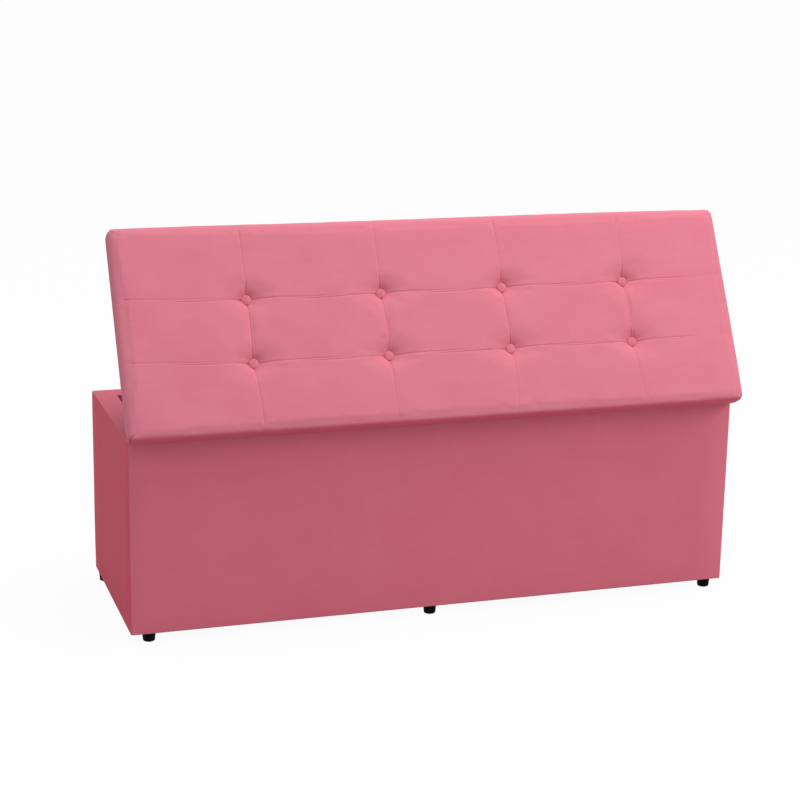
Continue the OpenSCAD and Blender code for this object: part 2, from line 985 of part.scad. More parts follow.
module lid_underside_cloth() {
    inset = board_inset + under_cloth_gap;
    color(dark_cloth)
        in_lid()
            difference() {
                block([inset - pad_half_width, board_back + under_cloth_gap, lid_low],
                    [pad_half_width - inset, pad_front - inset, board_low]);
                for (column = [-1 : 1])
                    translate([column * hinge_pitch, 0, 0])
                        leaf_room(0, board_low + overcut);
                for (side = [-1, 1])
                    mirrored(side)
                        block([flange_x + bracket_t - lid_flange_width - soft_gap,
                               lid_stud[0] - bracket_width / 2 - soft_gap, 0],
                            [flange_x + bracket_t + soft_gap,
                             lid_stud[0] + bracket_width / 2 + soft_gap, board_low + overcut]);
            }
}

// Ball stud along -X, its ball at the origin and its plate at a distance
module ball_stud(reach) {
    ball(ball_d);
    along_x(0, reach, stud_neck_d);
}

// A ball with its poles on the X axis
module ball(d) {
    rotate([0, 90, 0])
        sphere(d = d);
}

module base_bracket_screws() {
    for (side = [-1, 1])
        translate([plate_x, hinge_y + base_stud[0], hinge_z + base_stud[1] + side * bracket_screw_pitch])
            rotate([0, -90, 0])
                children();
}

module base_bracket(side) {
    color(black_paint)
        mirrored(side)
            difference() {
                union() {
                    translate([plate_x, hinge_y + base_stud[0] - bracket_width / 2,
                               hinge_z + base_stud[1] - bracket_height / 2])
                        cube([bracket_t, bracket_width, bracket_height]);
                    translate([strut_x, hinge_y + base_stud[0], hinge_z + base_stud[1]])
                        ball_stud(plate_x - strut_x);
                }
                base_bracket_screws()
                    screw_room(hinge_screw_d, bracket_screw_length, bracket_t);
            }
}

module left_strut_base_bracket() {
    base_bracket(-1);
}

module right_strut_base_bracket() {
    base_bracket(1);
}

module strut_base_screws() {
    color(zinc)
        for (side = [-1, 1])
            mirrored(side)
                base_bracket_screws()
                    wood_screw(hinge_screw_d, bracket_screw_length, bracket_t);
}

module lid_bracket_screws() {
    for (side = [-1, 1])
        translate([flange_x - lid_flange_width / 2, lid_stud[0] + side * bracket_width / 4,
                   board_low - bracket_t])
            mirror([0, 0, 1])
                children();
}

module lid_bracket(side) {
    color(black_paint)
        in_lid()
            mirrored(side)
                difference() {
                    union() {
                        block([flange_x + bracket_t - lid_flange_width, lid_stud[0] - bracket_width / 2,
                               board_low - bracket_t],
                            [flange_x + bracket_t, lid_stud[0] + bracket_width / 2, board_low]);
                        block([flange_x, lid_stud[0] - bracket_width / 2, lid_stud[1] - ball_d],
                            [flange_x + bracket_t, lid_stud[0] + bracket_width / 2, board_low]);
                        translate([strut_x, lid_stud[0], lid_stud[1]])
                            ball_stud(flange_x - strut_x);
                    }
                    lid_bracket_screws()
                        screw_room(hinge_screw_d, bracket_screw_length, bracket_t);
                }
}

module left_strut_lid_bracket() {
    lid_bracket(-1);
}

module right_strut_lid_bracket() {
    lid_bracket(1);
}

module strut_lid_screws() {
    color(zinc)
        in_lid()
            for (side = [-1, 1])
                mirrored(side)
                    lid_bracket_screws()
                        wood_screw(hinge_screw_d, bracket_screw_length, bracket_t);
}

// Strut parts are drawn along +Z from the lower ball, with +X to the wall
module in_strut(side) {
    mirrored(side)
        translate([strut_x, hinge_y + base_stud[0], hinge_z + base_stud[1]])
            rotate([strut_lean - 90, 0, 0])
                children();
}

// Socket around a ball at the origin, open to the wall, its shank along +Z
module socket() {
    color(black_plastic)
        difference() {
            union() {
                along_x(-socket_width / 2, socket_width / 2, socket_d);
                cylinder(d = socket_width - 2 * socket_shoulder, h = socket_reach);
            }
            ball(ball_d + 2 * ball_gap);
            along_x(0, socket_width, ball_d - 2 * socket_lip);
        }
}

module strut_cylinder(side) {
    cavity_low = socket_reach + cylinder_cap;
    color(black_paint)
        in_strut(side)
            difference() {
                translate([0, 0, socket_reach])
                    cylinder(d = cylinder_d, h = cylinder_end - socket_reach);
                translate([0, 0, cavity_low])
                    cylinder(d = bore_d, h = cylinder_end - gland_length - cavity_low);
                translate([0, 0, cavity_low])
                    cylinder(d = rod_d + 2 * rod_gap, h = cylinder_end);
            }
}

module strut_rod(side) {
    color(steel)
        in_strut(side) {
            translate([0, 0, piston_low])
                cylinder(d = bore_d - 2 * piston_gap, h = piston_length);
            translate([0, 0, piston_low])
                cylinder(d = rod_d, h = strut_open - socket_reach - piston_low);
        }
}

module lower_socket(side) {
    in_strut(side)
        socket();
}

module upper_socket(side) {
    in_strut(side)
        translate([0, 0, strut_open])
            rotate([180, 0, 0])
                socket();
}

module left_strut_cylinder() {
    strut_cylinder(-1);
}

module right_strut_cylinder() {
    strut_cylinder(1);
}

module left_strut_lower_socket() {
    lower_socket(-1);
}

module right_strut_lower_socket() {
    lower_socket(1);
}

module left_strut_rod() {
    strut_rod(-1);
}

module right_strut_rod() {
    strut_rod(1);
}

module left_strut_upper_socket() {
    upper_socket(-1);
}

module right_strut_upper_socket() {
    upper_socket(1);
}

base_cover();
front_outer_panel();
back_outer_panel();
left_outer_panel();
right_outer_panel();
front_inner_panel();
back_inner_panel();
left_inner_panel();
right_inner_panel();
front_top_rail();
back_top_rail();
left_top_rail();
right_top_rail();
front_bottom_rail();
back_bottom_rail();
left_bottom_rail();
right_bottom_rail();
wall_studs();
floor_bearers();
floor_panel();
well_lining();
dust_cloth();
foot_back_left();
foot_back_middle();
foot_back_right();
foot_front_left();
foot_front_middle();
foot_front_right();
foot_screws();
left_hinge_base_leaf();
middle_hinge_base_leaf();
right_hinge_base_leaf();
hinge_pins();
hinge_base_screws();
left_strut_base_bracket();
right_strut_base_bracket();
strut_base_screws();
lid_board();
lid_foam();
lid_cover();
upper_row_buttons();
lower_row_buttons();
button_twines();
lid_underside_cloth();
left_hinge_lid_leaf();
middle_hinge_lid_leaf();
right_hinge_lid_leaf();
hinge_lid_screws();
left_strut_lid_bracket();
right_strut_lid_bracket();
strut_lid_screws();
left_strut_cylinder();
right_strut_cylinder();
left_strut_lower_socket();
right_strut_lower_socket();
left_strut_rod();
right_strut_rod();
left_strut_upper_socket();
right_strut_upper_socket();
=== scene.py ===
"""A button-tufted storage bench with its lid open: the upholstery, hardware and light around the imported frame."""

import json
import math

import bpy
import numpy as np
from mathutils import Matrix, Vector


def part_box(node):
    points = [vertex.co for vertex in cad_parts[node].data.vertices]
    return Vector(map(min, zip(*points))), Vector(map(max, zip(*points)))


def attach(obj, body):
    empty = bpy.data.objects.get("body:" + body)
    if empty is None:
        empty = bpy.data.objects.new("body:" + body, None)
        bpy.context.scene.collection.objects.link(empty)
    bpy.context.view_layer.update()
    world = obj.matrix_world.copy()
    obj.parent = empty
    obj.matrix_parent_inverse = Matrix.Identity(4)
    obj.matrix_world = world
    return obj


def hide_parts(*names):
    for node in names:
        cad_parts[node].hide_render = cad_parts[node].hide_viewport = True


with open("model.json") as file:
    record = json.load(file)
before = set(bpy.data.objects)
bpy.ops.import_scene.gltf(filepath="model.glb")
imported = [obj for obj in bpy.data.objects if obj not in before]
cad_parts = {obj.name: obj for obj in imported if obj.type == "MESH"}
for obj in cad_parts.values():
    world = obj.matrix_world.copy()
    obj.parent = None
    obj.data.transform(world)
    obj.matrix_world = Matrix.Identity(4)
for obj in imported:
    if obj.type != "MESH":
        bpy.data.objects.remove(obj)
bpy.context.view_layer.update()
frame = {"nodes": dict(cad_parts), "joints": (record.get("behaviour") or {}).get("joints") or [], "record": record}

scene = bpy.context.scene
MM = 0.001


def corners(node):
    """The lowest and the highest corner of one of the frame's nodes, in millimetres."""
    return [np.array(corner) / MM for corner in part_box(node)]


# Sizes of the real bench in millimetres, as the frame has them
BOX_LOW, BOX_HIGH = corners("base_cover")
HALF_WIDTH = BOX_HIGH[0]
HALF_DEPTH = (BOX_HIGH[1] - BOX_LOW[1]) / 2
BOX_MIDDLE_Y = (BOX_HIGH[1] + BOX_LOW[1]) / 2
RIM_Z = BOX_HIGH[2]
BASE_Z = BOX_LOW[2]
FEET = ["foot_%s_%s" % (row, column) for row in ("back", "front") for column in ("left", "middle", "right")]

# The closed lid's axes, with x along the hinges, y away from them and z up, turned open about the hinge line
HINGE = next(joint for joint in frame["joints"] if joint["name"] == "lid_hinge")
LID = Matrix.Translation(HINGE["pos_m"]) @ Matrix.Rotation(math.radians(-HINGE["range_deg"][0]), 4, "X")

# The hinges' middles and the room that their leaves need, the wall's thickness at the rim, the suede's thickness,
# and how far the dust cloth stays inside the box's outline
HINGE_XS = (-480.0, 0.0, 480.0)
LEAF_HALF = 30.3
LEAF_REACH = 30.3
WALL = 50.4
SUEDE = 1.2
CLOTH_MARGIN = 25

# The padded lid in the closed lid's axes: its outline, its crown, the height where it is widest, its buttons' seats
PAD_HALF = 704.0
PAD_BACK = -6.2
PAD_FRONT = 459.8
CROWN_Z = 60.0
WIDEST_Z = 30.5
SEAT_Z = 52.7

# The tufting: the pillows' rise over the crown, the buttons' pull, half the width of the valleys along the seams,
# and the grid of buttons with its second column a little to the right, as in the photograph
PILLOW_RISE = 5.5
BUTTON_PULL = 10.5
COLUMN_VALLEY = 34.0
ROW_VALLEY = 30.0
BUTTON_D = 24.0
COLUMN_PITCH = 292.0
GRID_SHIFT = 15.0
SECOND_COLUMN_STRAY = 10.0
COLUMNS = [GRID_SHIFT + COLUMN_PITCH * (k - 1.5) + (SECOND_COLUMN_STRAY if k == 1 else 0.0) for k in range(4)]
ROWS = [143.8, 285.8]
ROWS_MIDDLE = (ROWS[0] + ROWS[1]) / 2
BUTTONS = [(column, row) for column in COLUMNS for row in ROWS]
SPAN_ENDS = [-PAD_HALF + 14, *COLUMNS, PAD_HALF - 14]
SPANS = list(zip(SPAN_ENDS, SPAN_ENDS[1:]))

# The corners of any rectangle, anticlockwise from the back left one
CORNERS = ((-1, -1), (1, -1), (1, 1), (-1, 1))


# Nodes of a material, written as sums and products


class Wire:
    """A value on its way through the nodes of one finish."""

    def __init__(self, finish, socket):
        self.finish = finish
        self.socket = socket

    def maths(self, operation, *others, **settings):
        values = dict(enumerate((self, *others)))
        return self.finish.node("Math", values, operation=operation, **settings)

    def __add__(self, other):
        return self.maths("ADD", other)

    __radd__ = __add__

    def __mul__(self, other):
        return self.maths("MULTIPLY", other)


class Finish:
    """One material, or the world, and the nodes that it is made of."""

    def __init__(self, name, kept_in="materials"):
        self.owner = getattr(bpy.data, kept_in).new(name)
        self.owner.use_nodes = True
        self.tree = self.owner.node_tree
        self.tree.nodes.clear()

    def node(self, kind, sockets=None, out=0, **settings):
        """A node with its settings, wired to others or set to values, given on as its output socket."""
        made = self.tree.nodes.new("ShaderNode" + kind)
        for name, value in settings.items():
            setattr(made, name, value)
        for name, value in (sockets or {}).items():
            if isinstance(value, Wire):
                self.tree.links.new(value.socket, made.inputs[name])
            elif made.inputs[name].type == "RGBA":
                made.inputs[name].default_value = (*value, 1.0)
            else:
                made.inputs[name].default_value = value
        return Wire(self, made.outputs[out]) if len(made.outputs) else None

    def place(self, stretch=(1, 1, 1), turn=(0, 0, 0)):
        """Position on the piece in metres, stretched and turned."""
        position = self.node("TexCoord", out="Object")
        return self.node("Mapping", {"Vector": position, "Scale": stretch, "Rotation": turn})

    def noise(self, place, scale, detail=2.0, roughness=0.5, distortion=0.0):
        return self.node("TexNoise", {"Vector": place, "Scale": scale, "Detail": detail, "Roughness": roughness,
                                      "Distortion": distortion})

    def ramp(self, value, low, high):
        return self.node("MapRange", {"Value": value, "From Min": low, "From Max": high}, clamp=True)

    def shade(self, share, first, second):
        return self.node("Mix", {0: share, 6: first, 7: second}, 2, data_type="RGBA")

    def bump(self, height, strength, distance, under=None):
        sockets = {"Height": height, "Strength": strength, "Distance": distance}
        if under is not None:
            sockets["Normal"] = under
        return self.node("Bump", sockets)

    def coat(self, **sockets):
        """Ends the finish in one Principled surface."""
        named = {name.replace("_", " "): value for name, value in sockets.items()}
        shader = self.node("BsdfPrincipled", named)
        self.node("OutputMaterial", {"Surface": shader})
        return self.owner


def drawn_out(axis, share):
    """The stretch that draws a texture out along x, y or z."""
    return tuple(share if each == axis else 1 for each in "xyz")


def suede_finish(name, colour, worn, deep, facing_shade_colour, shaded_facing, gloss):
    """Short-napped suede, with painted shade deepening it in its folds and on the sides that face one way along an
    axis.
    """
    f = Finish(name)
    place = f.place()
    patches = f.noise(place, 9.0, 4.0, 0.55)
    brushed = f.noise(f.place((3.0, 16.0, 16.0)), 4.0, 3.0, 0.6)
    nap = f.noise(place, 1500.0, 3.0, 0.7)
    grain = f.noise(place, 330.0, 3.0, 0.6)
    tone = f.ramp(patches * 0.35 + brushed * 0.15 + grain * 0.3 + nap * 0.2, 0.26, 0.74)
    curve = f.node("NewGeometry", out="Pointiness")
    rubbed = f.ramp(curve, 0.503, 0.56)
    folded = f.ramp(curve, 0.497, 0.44)
    cloth = f.shade(tone, deep, colour)
    cloth = f.shade(rubbed * 0.35, cloth, worn)
    # Painted shade: concave folds and creases are mixed towards the deep colour
    cloth = f.shade(folded * 0.45, cloth, deep)
    # Painted shade: the sides whose normal faces one way along the given axis are mixed towards a deeper, more
    # saturated colour
    axis, low, high = shaded_facing
    facing = f.node("TexCoord", out="Normal")
    facing = f.node("SeparateXYZ", {"Vector": facing}, out=axis)
    if low > 0 and high > 0:
        facing = facing.maths("ABSOLUTE")
    cloth = f.shade(f.ramp(facing, low, high), cloth, f.shade(tone * 0.5 + 0.5, deep, facing_shade_colour))
    relief = f.bump(grain * 0.6 + nap * 0.4, 0.3, 0.0006)
    relief = f.bump(brushed * 0.5 + patches * 0.5, 0.1, 0.003, relief)
    return f.coat(Base_Color=cloth, Roughness=0.54 + nap * 0.12 + patches * 0.06, Normal=relief,
                  Sheen_Weight=0.02, Sheen_Roughness=0.45, Sheen_Tint=(1.0, 0.3, 0.36),
                  Specular_IOR_Level=gloss)


def cloth_finish(name, colour, light, spots):
    """Pressed fibre cloth: a grid of small bonded spots over loose fibres."""
    f = Finish(name)
    place = f.place()
    fibres = f.noise(f.place((1.0, 4.0, 1.0)), 260.0, 5.0, 0.7)
    bonded = f.node("TexVoronoi", {"Vector": place, "Scale": spots, "Randomness": 0.25}, "Distance", feature="F1")
    pits = f.ramp(bonded, 0.1, 0.42)
    patches = f.noise(place, 11.0, 3.0)
    cloth = f.shade(f.ramp(fibres * 0.6 + patches * 0.4, 0.35, 0.68), colour, light)
    cloth = f.shade(pits * 0.5, cloth, colour)
    relief = f.bump(pits * 0.6 + fibres * 0.4, 0.5, 0.0004)
    return f.coat(Base_Color=cloth, Roughness=0.82 + fibres * 0.15, Normal=relief, Sheen_Weight=0.1,
                  Sheen_Roughness=0.6, Specular_IOR_Level=0.25)


def wood_finish(name, pale, dark, grain, ring=26.0, lines=9.0):
    """Planed wood with its grain along x, y or z."""
    f = Finish(name)
    stretch = drawn_out(grain, 0.06)
    place = f.place(stretch)
    sway = f.noise(place, 12.0, 3.0, 0.5)
    rings = f.noise(place, ring, 5.0, 0.62, 1.6)
    pores = f.noise(f.place(tuple(k * lines for k in stretch)), 90.0, 4.0, 0.7)
    timber = f.shade(f.ramp(rings * 0.7 + sway * 0.3, 0.36, 0.66), pale, dark)
    timber = f.shade(f.ramp(pores, 0.6, 0.78) * 0.4, timber, dark)
    relief = f.bump(pores * 0.6 + rings * 0.4, 0.3, 0.0004)
    return f.coat(Base_Color=timber, Roughness=0.52 + pores * 0.25, Normal=relief, Specular_IOR_Level=0.35)


def hardboard_finish(name):
    f = Finish(name)
    place = f.place()
    chips = f.noise(place, 420.0, 4.0, 0.65)
    patches = f.noise(place, 24.0, 3.0)
    board = f.shade(f.ramp(chips * 0.6 + patches * 0.4, 0.35, 0.65), (0.17, 0.09, 0.04), (0.33, 0.19, 0.09))
    return f.coat(Base_Color=board, Roughness=0.45 + chips * 0.3, Normal=f.bump(chips, 0.25, 0.0003))


def moulded_finish(name, colour, light, rough, gloss):
    """Moulded or powder-coated black with a fine peel."""
    f = Finish(name)
    peel = f.noise(f.place(), 700.0, 3.0, 0.6)
    scuffs = f.noise(f.place((1.0, 1.0, 6.0)), 60.0, 5.0, 0.7)
    edge = f.ramp(f.node("NewGeometry", out="Pointiness"), 0.51, 0.58)
    skin = f.shade(f.ramp(scuffs, 0.5, 0.8) * 0.5 + edge * 0.3, colour, light)
    return f.coat(Base_Color=skin, Roughness=rough + scuffs * 0.25, Normal=f.bump(peel, 0.3, 0.0002),
                  Specular_IOR_Level=gloss)


def plated_finish(name, bright, dull, rough, lines_along):
    """Bare or plated metal with fine lines and a cloudy sheen."""
    f = Finish(name)
    lines = f.noise(f.place(drawn_out(lines_along, 0.05)), 1200.0, 3.0, 0.7)
    clouds = f.noise(f.place(), 45.0, 4.0, 0.6)
    metal = f.shade(f.ramp(clouds * 0.7 + lines * 0.3, 0.35, 0.7), bright, dull)
    return f.coat(Base_Color=metal, Metallic=1.0, Roughness=rough + clouds * 0.14 + lines * 0.08,
                  Normal=f.bump(lines, 0.15, 0.0001))


def foam_finish(name):
    f = Finish(name)
    place = f.place()
    cells = f.node("TexVoronoi", {"Vector": place, "Scale": 620.0}, "Distance", feature="F1")
    patches = f.noise(place, 18.0, 3.0)
    foam = f.shade(f.ramp(cells * 0.6 + patches * 0.4, 0.2, 0.7), (0.62, 0.50, 0.28), (0.86, 0.78, 0.56))
    return f.coat(Base_Color=foam, Roughness=0.9 + patches * 0.08, Normal=f.bump(cells, 0.7, 0.0008))


def twine_finish(name):
    f = Finish(name)
    place = f.place((1, 1, 1), (0.6, 0.6, 0))
    strands = f.node("TexWave", {"Vector": place, "Scale": 420.0, "Distortion": 1.0}, "Fac", wave_type="BANDS",
                     bands_direction="DIAGONAL")
    fuzz = f.noise(place, 900.0, 3.0)
    colour = f.shade(f.ramp(strands * 0.7 + fuzz * 0.3, 0.2, 0.8), (0.50, 0.46, 0.36), (0.78, 0.74, 0.64))
    return f.coat(Base_Color=colour, Roughness=0.8 + fuzz * 0.15, Normal=f.bump(strands, 0.5, 0.0004))


# The finish of each material slot, then the two that share a slot with another finish (the lid's suede a paler copy
# of the box's, as painted light), and pine by its grain
FINISHES = {
    # The box's suede: painted shade on its two ends, the faces along x, in a deeper, more saturated colour
    "suede": suede_finish("box_pink_suede", (0.745, 0.190, 0.256), (0.79, 0.235, 0.300), (0.680, 0.150, 0.208),
                          (0.73, 0.102, 0.154), ("X", 0.5, 0.9), 0.03),
    # The buttons' suede: painted shade on their down-facing sides
    "button_suede": suede_finish("button_pink_suede", (0.77, 0.225, 0.285), (0.84, 0.300, 0.360),
                                 (0.66, 0.155, 0.205), (0.75, 0.20, 0.26), ("Z", 0.0, -0.7), 0.05),
    "dark_cloth": cloth_finish("dark_pressed_cloth", (0.012, 0.011, 0.012), (0.034, 0.031, 0.033), 420.0),
    "black_plastic": moulded_finish("black_moulded_plastic", (0.003, 0.002, 0.0022), (0.007, 0.005, 0.0055), 0.5,
                                    0.05),
    "black_paint": moulded_finish("black_powder_coat", (0.014, 0.014, 0.015), (0.05, 0.05, 0.052), 0.34, 0.4),
    "zinc": plated_finish("zinc_plate", (0.66, 0.65, 0.62), (0.46, 0.46, 0.45), 0.3, "x"),
    "steel": plated_finish("polished_steel", (0.80, 0.80, 0.81), (0.62, 0.62, 0.64), 0.12, "z"),
    "plywood": wood_finish("birch_plywood", (0.70, 0.53, 0.33), (0.55, 0.38, 0.20), "x", 14.0, 14.0),
    "hardboard": hardboard_finish("brown_hardboard"),
    "foam": foam_finish("cream_foam"),
    "twine": twine_finish("waxed_twine"),
}
# The lid's suede: a paler, less saturated copy of the box's, as painted light on the tufted top, with painted shade
# on its down-facing sides
paler_lid_suede = suede_finish("tufted_pink_suede", (0.768, 0.244, 0.312), (0.83, 0.315, 0.380), (0.690, 0.172, 0.229),
                         (0.700, 0.120, 0.180), ("Z", 0.05, -0.45), 0.06)
staple_steel = plated_finish("staple_steel", (0.72, 0.71, 0.69), (0.50, 0.50, 0.49), 0.28, "y")
pines = {axis: wood_finish("pine_along_" + axis, (0.74, 0.53, 0.29), (0.54, 0.33, 0.15), axis) for axis in "xyz"}


# Mesh helpers


def add_object(name, data):
    made = bpy.data.objects.new(name, data)
    scene.collection.objects.link(made)
    return made


def mesh_of(name, points, faces):
    """A mesh from points in millimetres, in a list or a grid."""
    mesh = bpy.data.meshes.new(name)
    points = np.asarray(points, float).reshape(-1, 3) * MM
    mesh.from_pydata(points.tolist(), [], [tuple(int(k) for k in face) for face in faces])
    return mesh


def make_piece(name, points, faces, body, slot_name, at=None, smooth=True, finish=None):
    """A piece from points in the frame or in a part's own axes, riding on a body, in its slot's finish or another."""
    mesh = mesh_of(name, points, faces)
    if at is not None:
        mesh.transform(at)
    mesh.update()
    mesh.polygons.foreach_set("use_smooth", [smooth] * len(mesh.polygons))
    mesh.materials.append(finish or FINISHES[slot_name])
    piece = add_object(name, mesh)
    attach(piece, body)
    return piece


def thicken(piece, thickness):
    """Gives a skin its thickness on its inner side, and leaves the piece as the mesh that this makes."""
    shell = piece.modifiers.new("thickness", "SOLIDIFY")
    shell.thickness = thickness * MM
    shell.offset = -1.0
    settled = piece.evaluated_get(bpy.context.evaluated_depsgraph_get())
    mesh = bpy.data.meshes.new_from_object(settled)
    piece.modifiers.clear()
    piece.data = mesh


def soften(piece, width):
    """Joins split corners and rounds the sharp edges, as modifiers only."""
    weld = piece.modifiers.new("joined", "WELD")
    weld.merge_threshold = 0.01 * MM
    bevel = piece.modifiers.new("rounded", "BEVEL")
    bevel.width = width * MM
    bevel.segments = 2
    bevel.limit_method = "ANGLE"
    bevel.angle_limit = math.radians(40)


def smoothly(value, low, high):
    """From 0 at low to 1 at high, level at both."""
    t = np.clip((value - low) / (high - low), 0.0, 1.0)
    return t * t * (3 - 2 * t)


def ripple(x, y, seed, waves, shortest, longest):
    """A gentle uneven surface between -1 and 1: waves of set lengths in set directions."""
    random = np.random.default_rng(seed)
    total = np.zeros_like(np.asarray(x, float))
    for _ in range(waves):
        length = random.uniform(shortest, longest)
        heading = random.uniform(0, math.pi)
        phase = random.uniform(0, 2 * math.pi)
        total += np.sin((x * math.cos(heading) + y * math.sin(heading)) * 2 * math.pi / length + phase)
    return total / waves


def bell(offset, width):
    """1 at no offset, falling away to nothing on both sides."""
    return np.exp(-(offset / width) ** 2)


def nearest(value, lines):
    """Distance to the nearest of several lines."""
    return np.min([np.abs(value - line) for line in lines], axis=0)


def grid_faces(places, keep=None, closed=False):
    """Faces of a grid of places, where kept, each row joined end to end if the grid is closed."""
    rows, columns = places.shape[:2]
    faces = []
    for j in range(rows - 1):
        for i in range(columns if closed else columns - 1):
            if keep is None or keep[j, i]:
                n = (i + 1) % columns
                faces.append((j * columns + i, j * columns + n, (j + 1) * columns + n, (j + 1) * columns + i))
    return faces


def spread(start, end, step):
    """Even stations from start to end, both included, about a step apart."""
    return np.linspace(start, end, max(2, int(round(abs(end - start) / step)) + 1))


def merged(*lists, least=0.35):
    """Stations of several lists in order, near ones taken as one."""
    kept = []
    for value in sorted(v for values in lists for v in values):
        if not kept or value - kept[-1] > least:
            kept.append(value)
    return np.array(kept)


def flipped(faces):
    return [tuple(reversed(face)) for face in faces]


def cell_middles(xs, ys):
    """Middles of a grid's cells."""
    return np.meshgrid((xs[1:] + xs[:-1]) / 2, (ys[1:] + ys[:-1]) / 2)


def clear_of(values, lines, gap):
    """The values that keep their distance from every line."""
    return [value for value in values if min(abs(value - line) for line in lines) > gap]


def crowded(lines, steps):
    """Stations at set steps on both sides of each line."""
    return [line + side * step for line in lines for side in (-1, 1) for step in steps]


def beyond(low, high, steps):
    """Stations at set steps outside both ends."""
    return [low - step for step in steps] + [high + step for step in steps]


# The padded lid


def arc_table(points):
    """Points along a profile with their distance from its start."""
    points = np.array(points, float)
    steps = np.hypot(*np.diff(points, axis=0).T)
    return np.concatenate([[0], np.cumsum(steps)]), points


def roll(width, top, low, power):
    """The padding's shoulder, from the flat top round to its widest place."""
    turn = np.linspace(0, math.pi / 2, 40)
    out = width * np.sin(turn) ** (2 / power)
    up = low + (top - low) * np.cos(turn) ** (2 / power)
    return list(zip(out, up))


# The lid's flat middle ends a core's width inside its outline, and its sides roll down from there to the hem
CORE = 30.0
CORE_X = PAD_HALF - CORE
CORE_LOW, CORE_HIGH = PAD_BACK + CORE, PAD_FRONT - CORE
CORNER_SQUARENESS = 5.0
SIDE_PROFILE = arc_table(roll(CORE, CROWN_Z, WIDEST_Z, 4.6) + [
    (29.9, 24.0), (29.3, 16.0), (28.2, 9.0), (27.0, 4.6), (26.2, 2.6), (25.4, 1.4), (24.2, 0.75), (22.6, 0.55),
    (14.0, 0.55), (4.0, 0.55)])
HINGE_PROFILE = arc_table(roll(CORE, CROWN_Z, 28.0, 6.0) + [
    (29.8, 22.0), (29.3, 16.0), (28.7, 11.0), (28.1, 7.6), (27.3, 5.0), (26.4, 3.4), (25.2, 2.2), (23.8, 1.3),
    (22.2, 0.8), (20.0, 0.58), (18.0, 0.55), (10.0, 0.55), (0.5, 0.55)])
SKIRT = 118.0
SEAM_STEPS = (0, 0.8, 1.6, 2.4, 3.2, 4.0, 4.8, 5.6, 6.4, 7.6, 9.2, 11.2, 13.6, 16.4, 19.6, 23.2, 27.2, 31.8, 37.0,
              43.0)


def on_profile(table, distance):
    """Place on a profile at a share of its length."""
    along, points = table
    at = distance / SKIRT * along[-1]
    return np.interp(at, along, points[:, 0]), np.interp(at, along, points[:, 1])


def past_core(x, y):
    """How far sheet coordinates lie outside the lid's flat middle: along x, along y, and the larger of the two."""
    a = np.maximum(np.abs(x) - CORE_X, 0)
    b = np.maximum(np.maximum(y - CORE_HIGH, CORE_LOW - y), 0)
    return a, b, np.maximum(a, b)


def corner_turn(a, b, m):
    """Direction round a corner of the pad, from 0 at its end to a quarter turn at its long side."""
    safe = np.maximum(m, 1e-9)
    return np.where(a >= b, math.pi / 4 * b / safe, math.pi / 2 - math.pi / 4 * a / safe)


def lid_skin(x, y):
    """Places on the lid's smooth skin, from sheet coordinates that unroll its sides."""
    a, b, m = past_core(x, y)
    turn = corner_turn(a, b, m)
    power = 2 / CORNER_SQUARENESS
    along_x = np.where(a > 0, np.cos(turn), 0.0) ** power * (m > 0)
    along_y = np.where(b > 0, np.sin(turn), 0.0) ** power * (m > 0)
    side_out, side_up = on_profile(SIDE_PROFILE, m)
    hinge_out, hinge_up = on_profile(HINGE_PROFILE, m)
    share = np.where(y < CORE_LOW, smoothly(np.sin(turn), 0.35, 0.98), 0.0)
    out = side_out + (hinge_out - side_out) * share
    up = side_up + (hinge_up - side_up) * share
    px = np.clip(x, -CORE_X, CORE_X) + np.sign(x) * along_x * out
    py = np.clip(y, CORE_LOW, CORE_HIGH) + np.sign(y - (CORE_LOW + CORE_HIGH) / 2) * along_y * out
    return np.stack([px, py, up], -1)


def skin_normals(points):
    """Outward normals of a grid of places."""
    normal = np.cross(np.gradient(points, axis=1), np.gradient(points, axis=0))
    return normal / np.maximum(np.linalg.norm(normal, axis=-1, keepdims=True), 1e-9)


def fold(offset, depth, width):
    """A narrow crease, sharp at its bottom."""
    return -depth * np.exp(-np.abs(offset / width) ** 1.4)


# How the sewn lines stray on the cover, in mm: each column's lean above and below the buttons, each row's bow
# between them and its lift towards the lid's two ends
UPPER_LEAN = (0.0, -0.014, -0.02, 0.03)
LOWER_LEAN = (0.03, 0.01, -0.03, 0.05)
ROW_ARCH = (-1.4, -3.6)
LEFT_LIFT = (12.0, 9.0)
RIGHT_LIFT = (3.0, 4.0)


def around_button(x, y, button):
    """Distance and direction from a button."""
    dx, dy = x - button[0], y - button[1]
    return np.hypot(dx, dy), np.arctan2(dy, dx)


def pillow_relief(x, y):
    """Soft relief of the stuffing: full pillows, shallow valleys between them and a deep pull at each button."""
    to_column, to_row = nearest(x, COLUMNS), nearest(y, ROWS)
    valleys = []
    for across, along, width in ((to_column, to_row, COLUMN_VALLEY), (to_row, to_column, ROW_VALLEY)):
        depth = 0.4 + 2.6 * np.exp(-np.maximum(along - 14, 0) / 24)
        valleys.append(depth * np.clip(1 - across / width, 0, 1) ** 2)
    relief = PILLOW_RISE - np.maximum(*valleys)
    for button in BUTTONS:
        r, angle = around_button(x, y, button)
        spokes = np.abs(np.cos(2 * angle)) ** 3
        # Each tuft reaches furthest along its row, more to the right than to the lower left
        reach = 20 + 15 * np.cos(angle) ** 2 + 9 * spokes + 8 * np.maximum(0, np.cos(angle - 0.35))
        reach -= 4 * np.maximum(0, np.cos(angle - 3.9))
        away = np.clip((r - BUTTON_D / 2 + 2) / reach, 0, 1)
        relief -= BUTTON_PULL * (1 - away) ** (1.9 + 0.5 * spokes)
        corner = np.maximum(np.sin(2 * angle), 0) * (x > button[0])
        relief -= 3.4 * corner * np.exp(-np.maximum(r - BUTTON_D / 2, 0) / 11.0)
    return relief


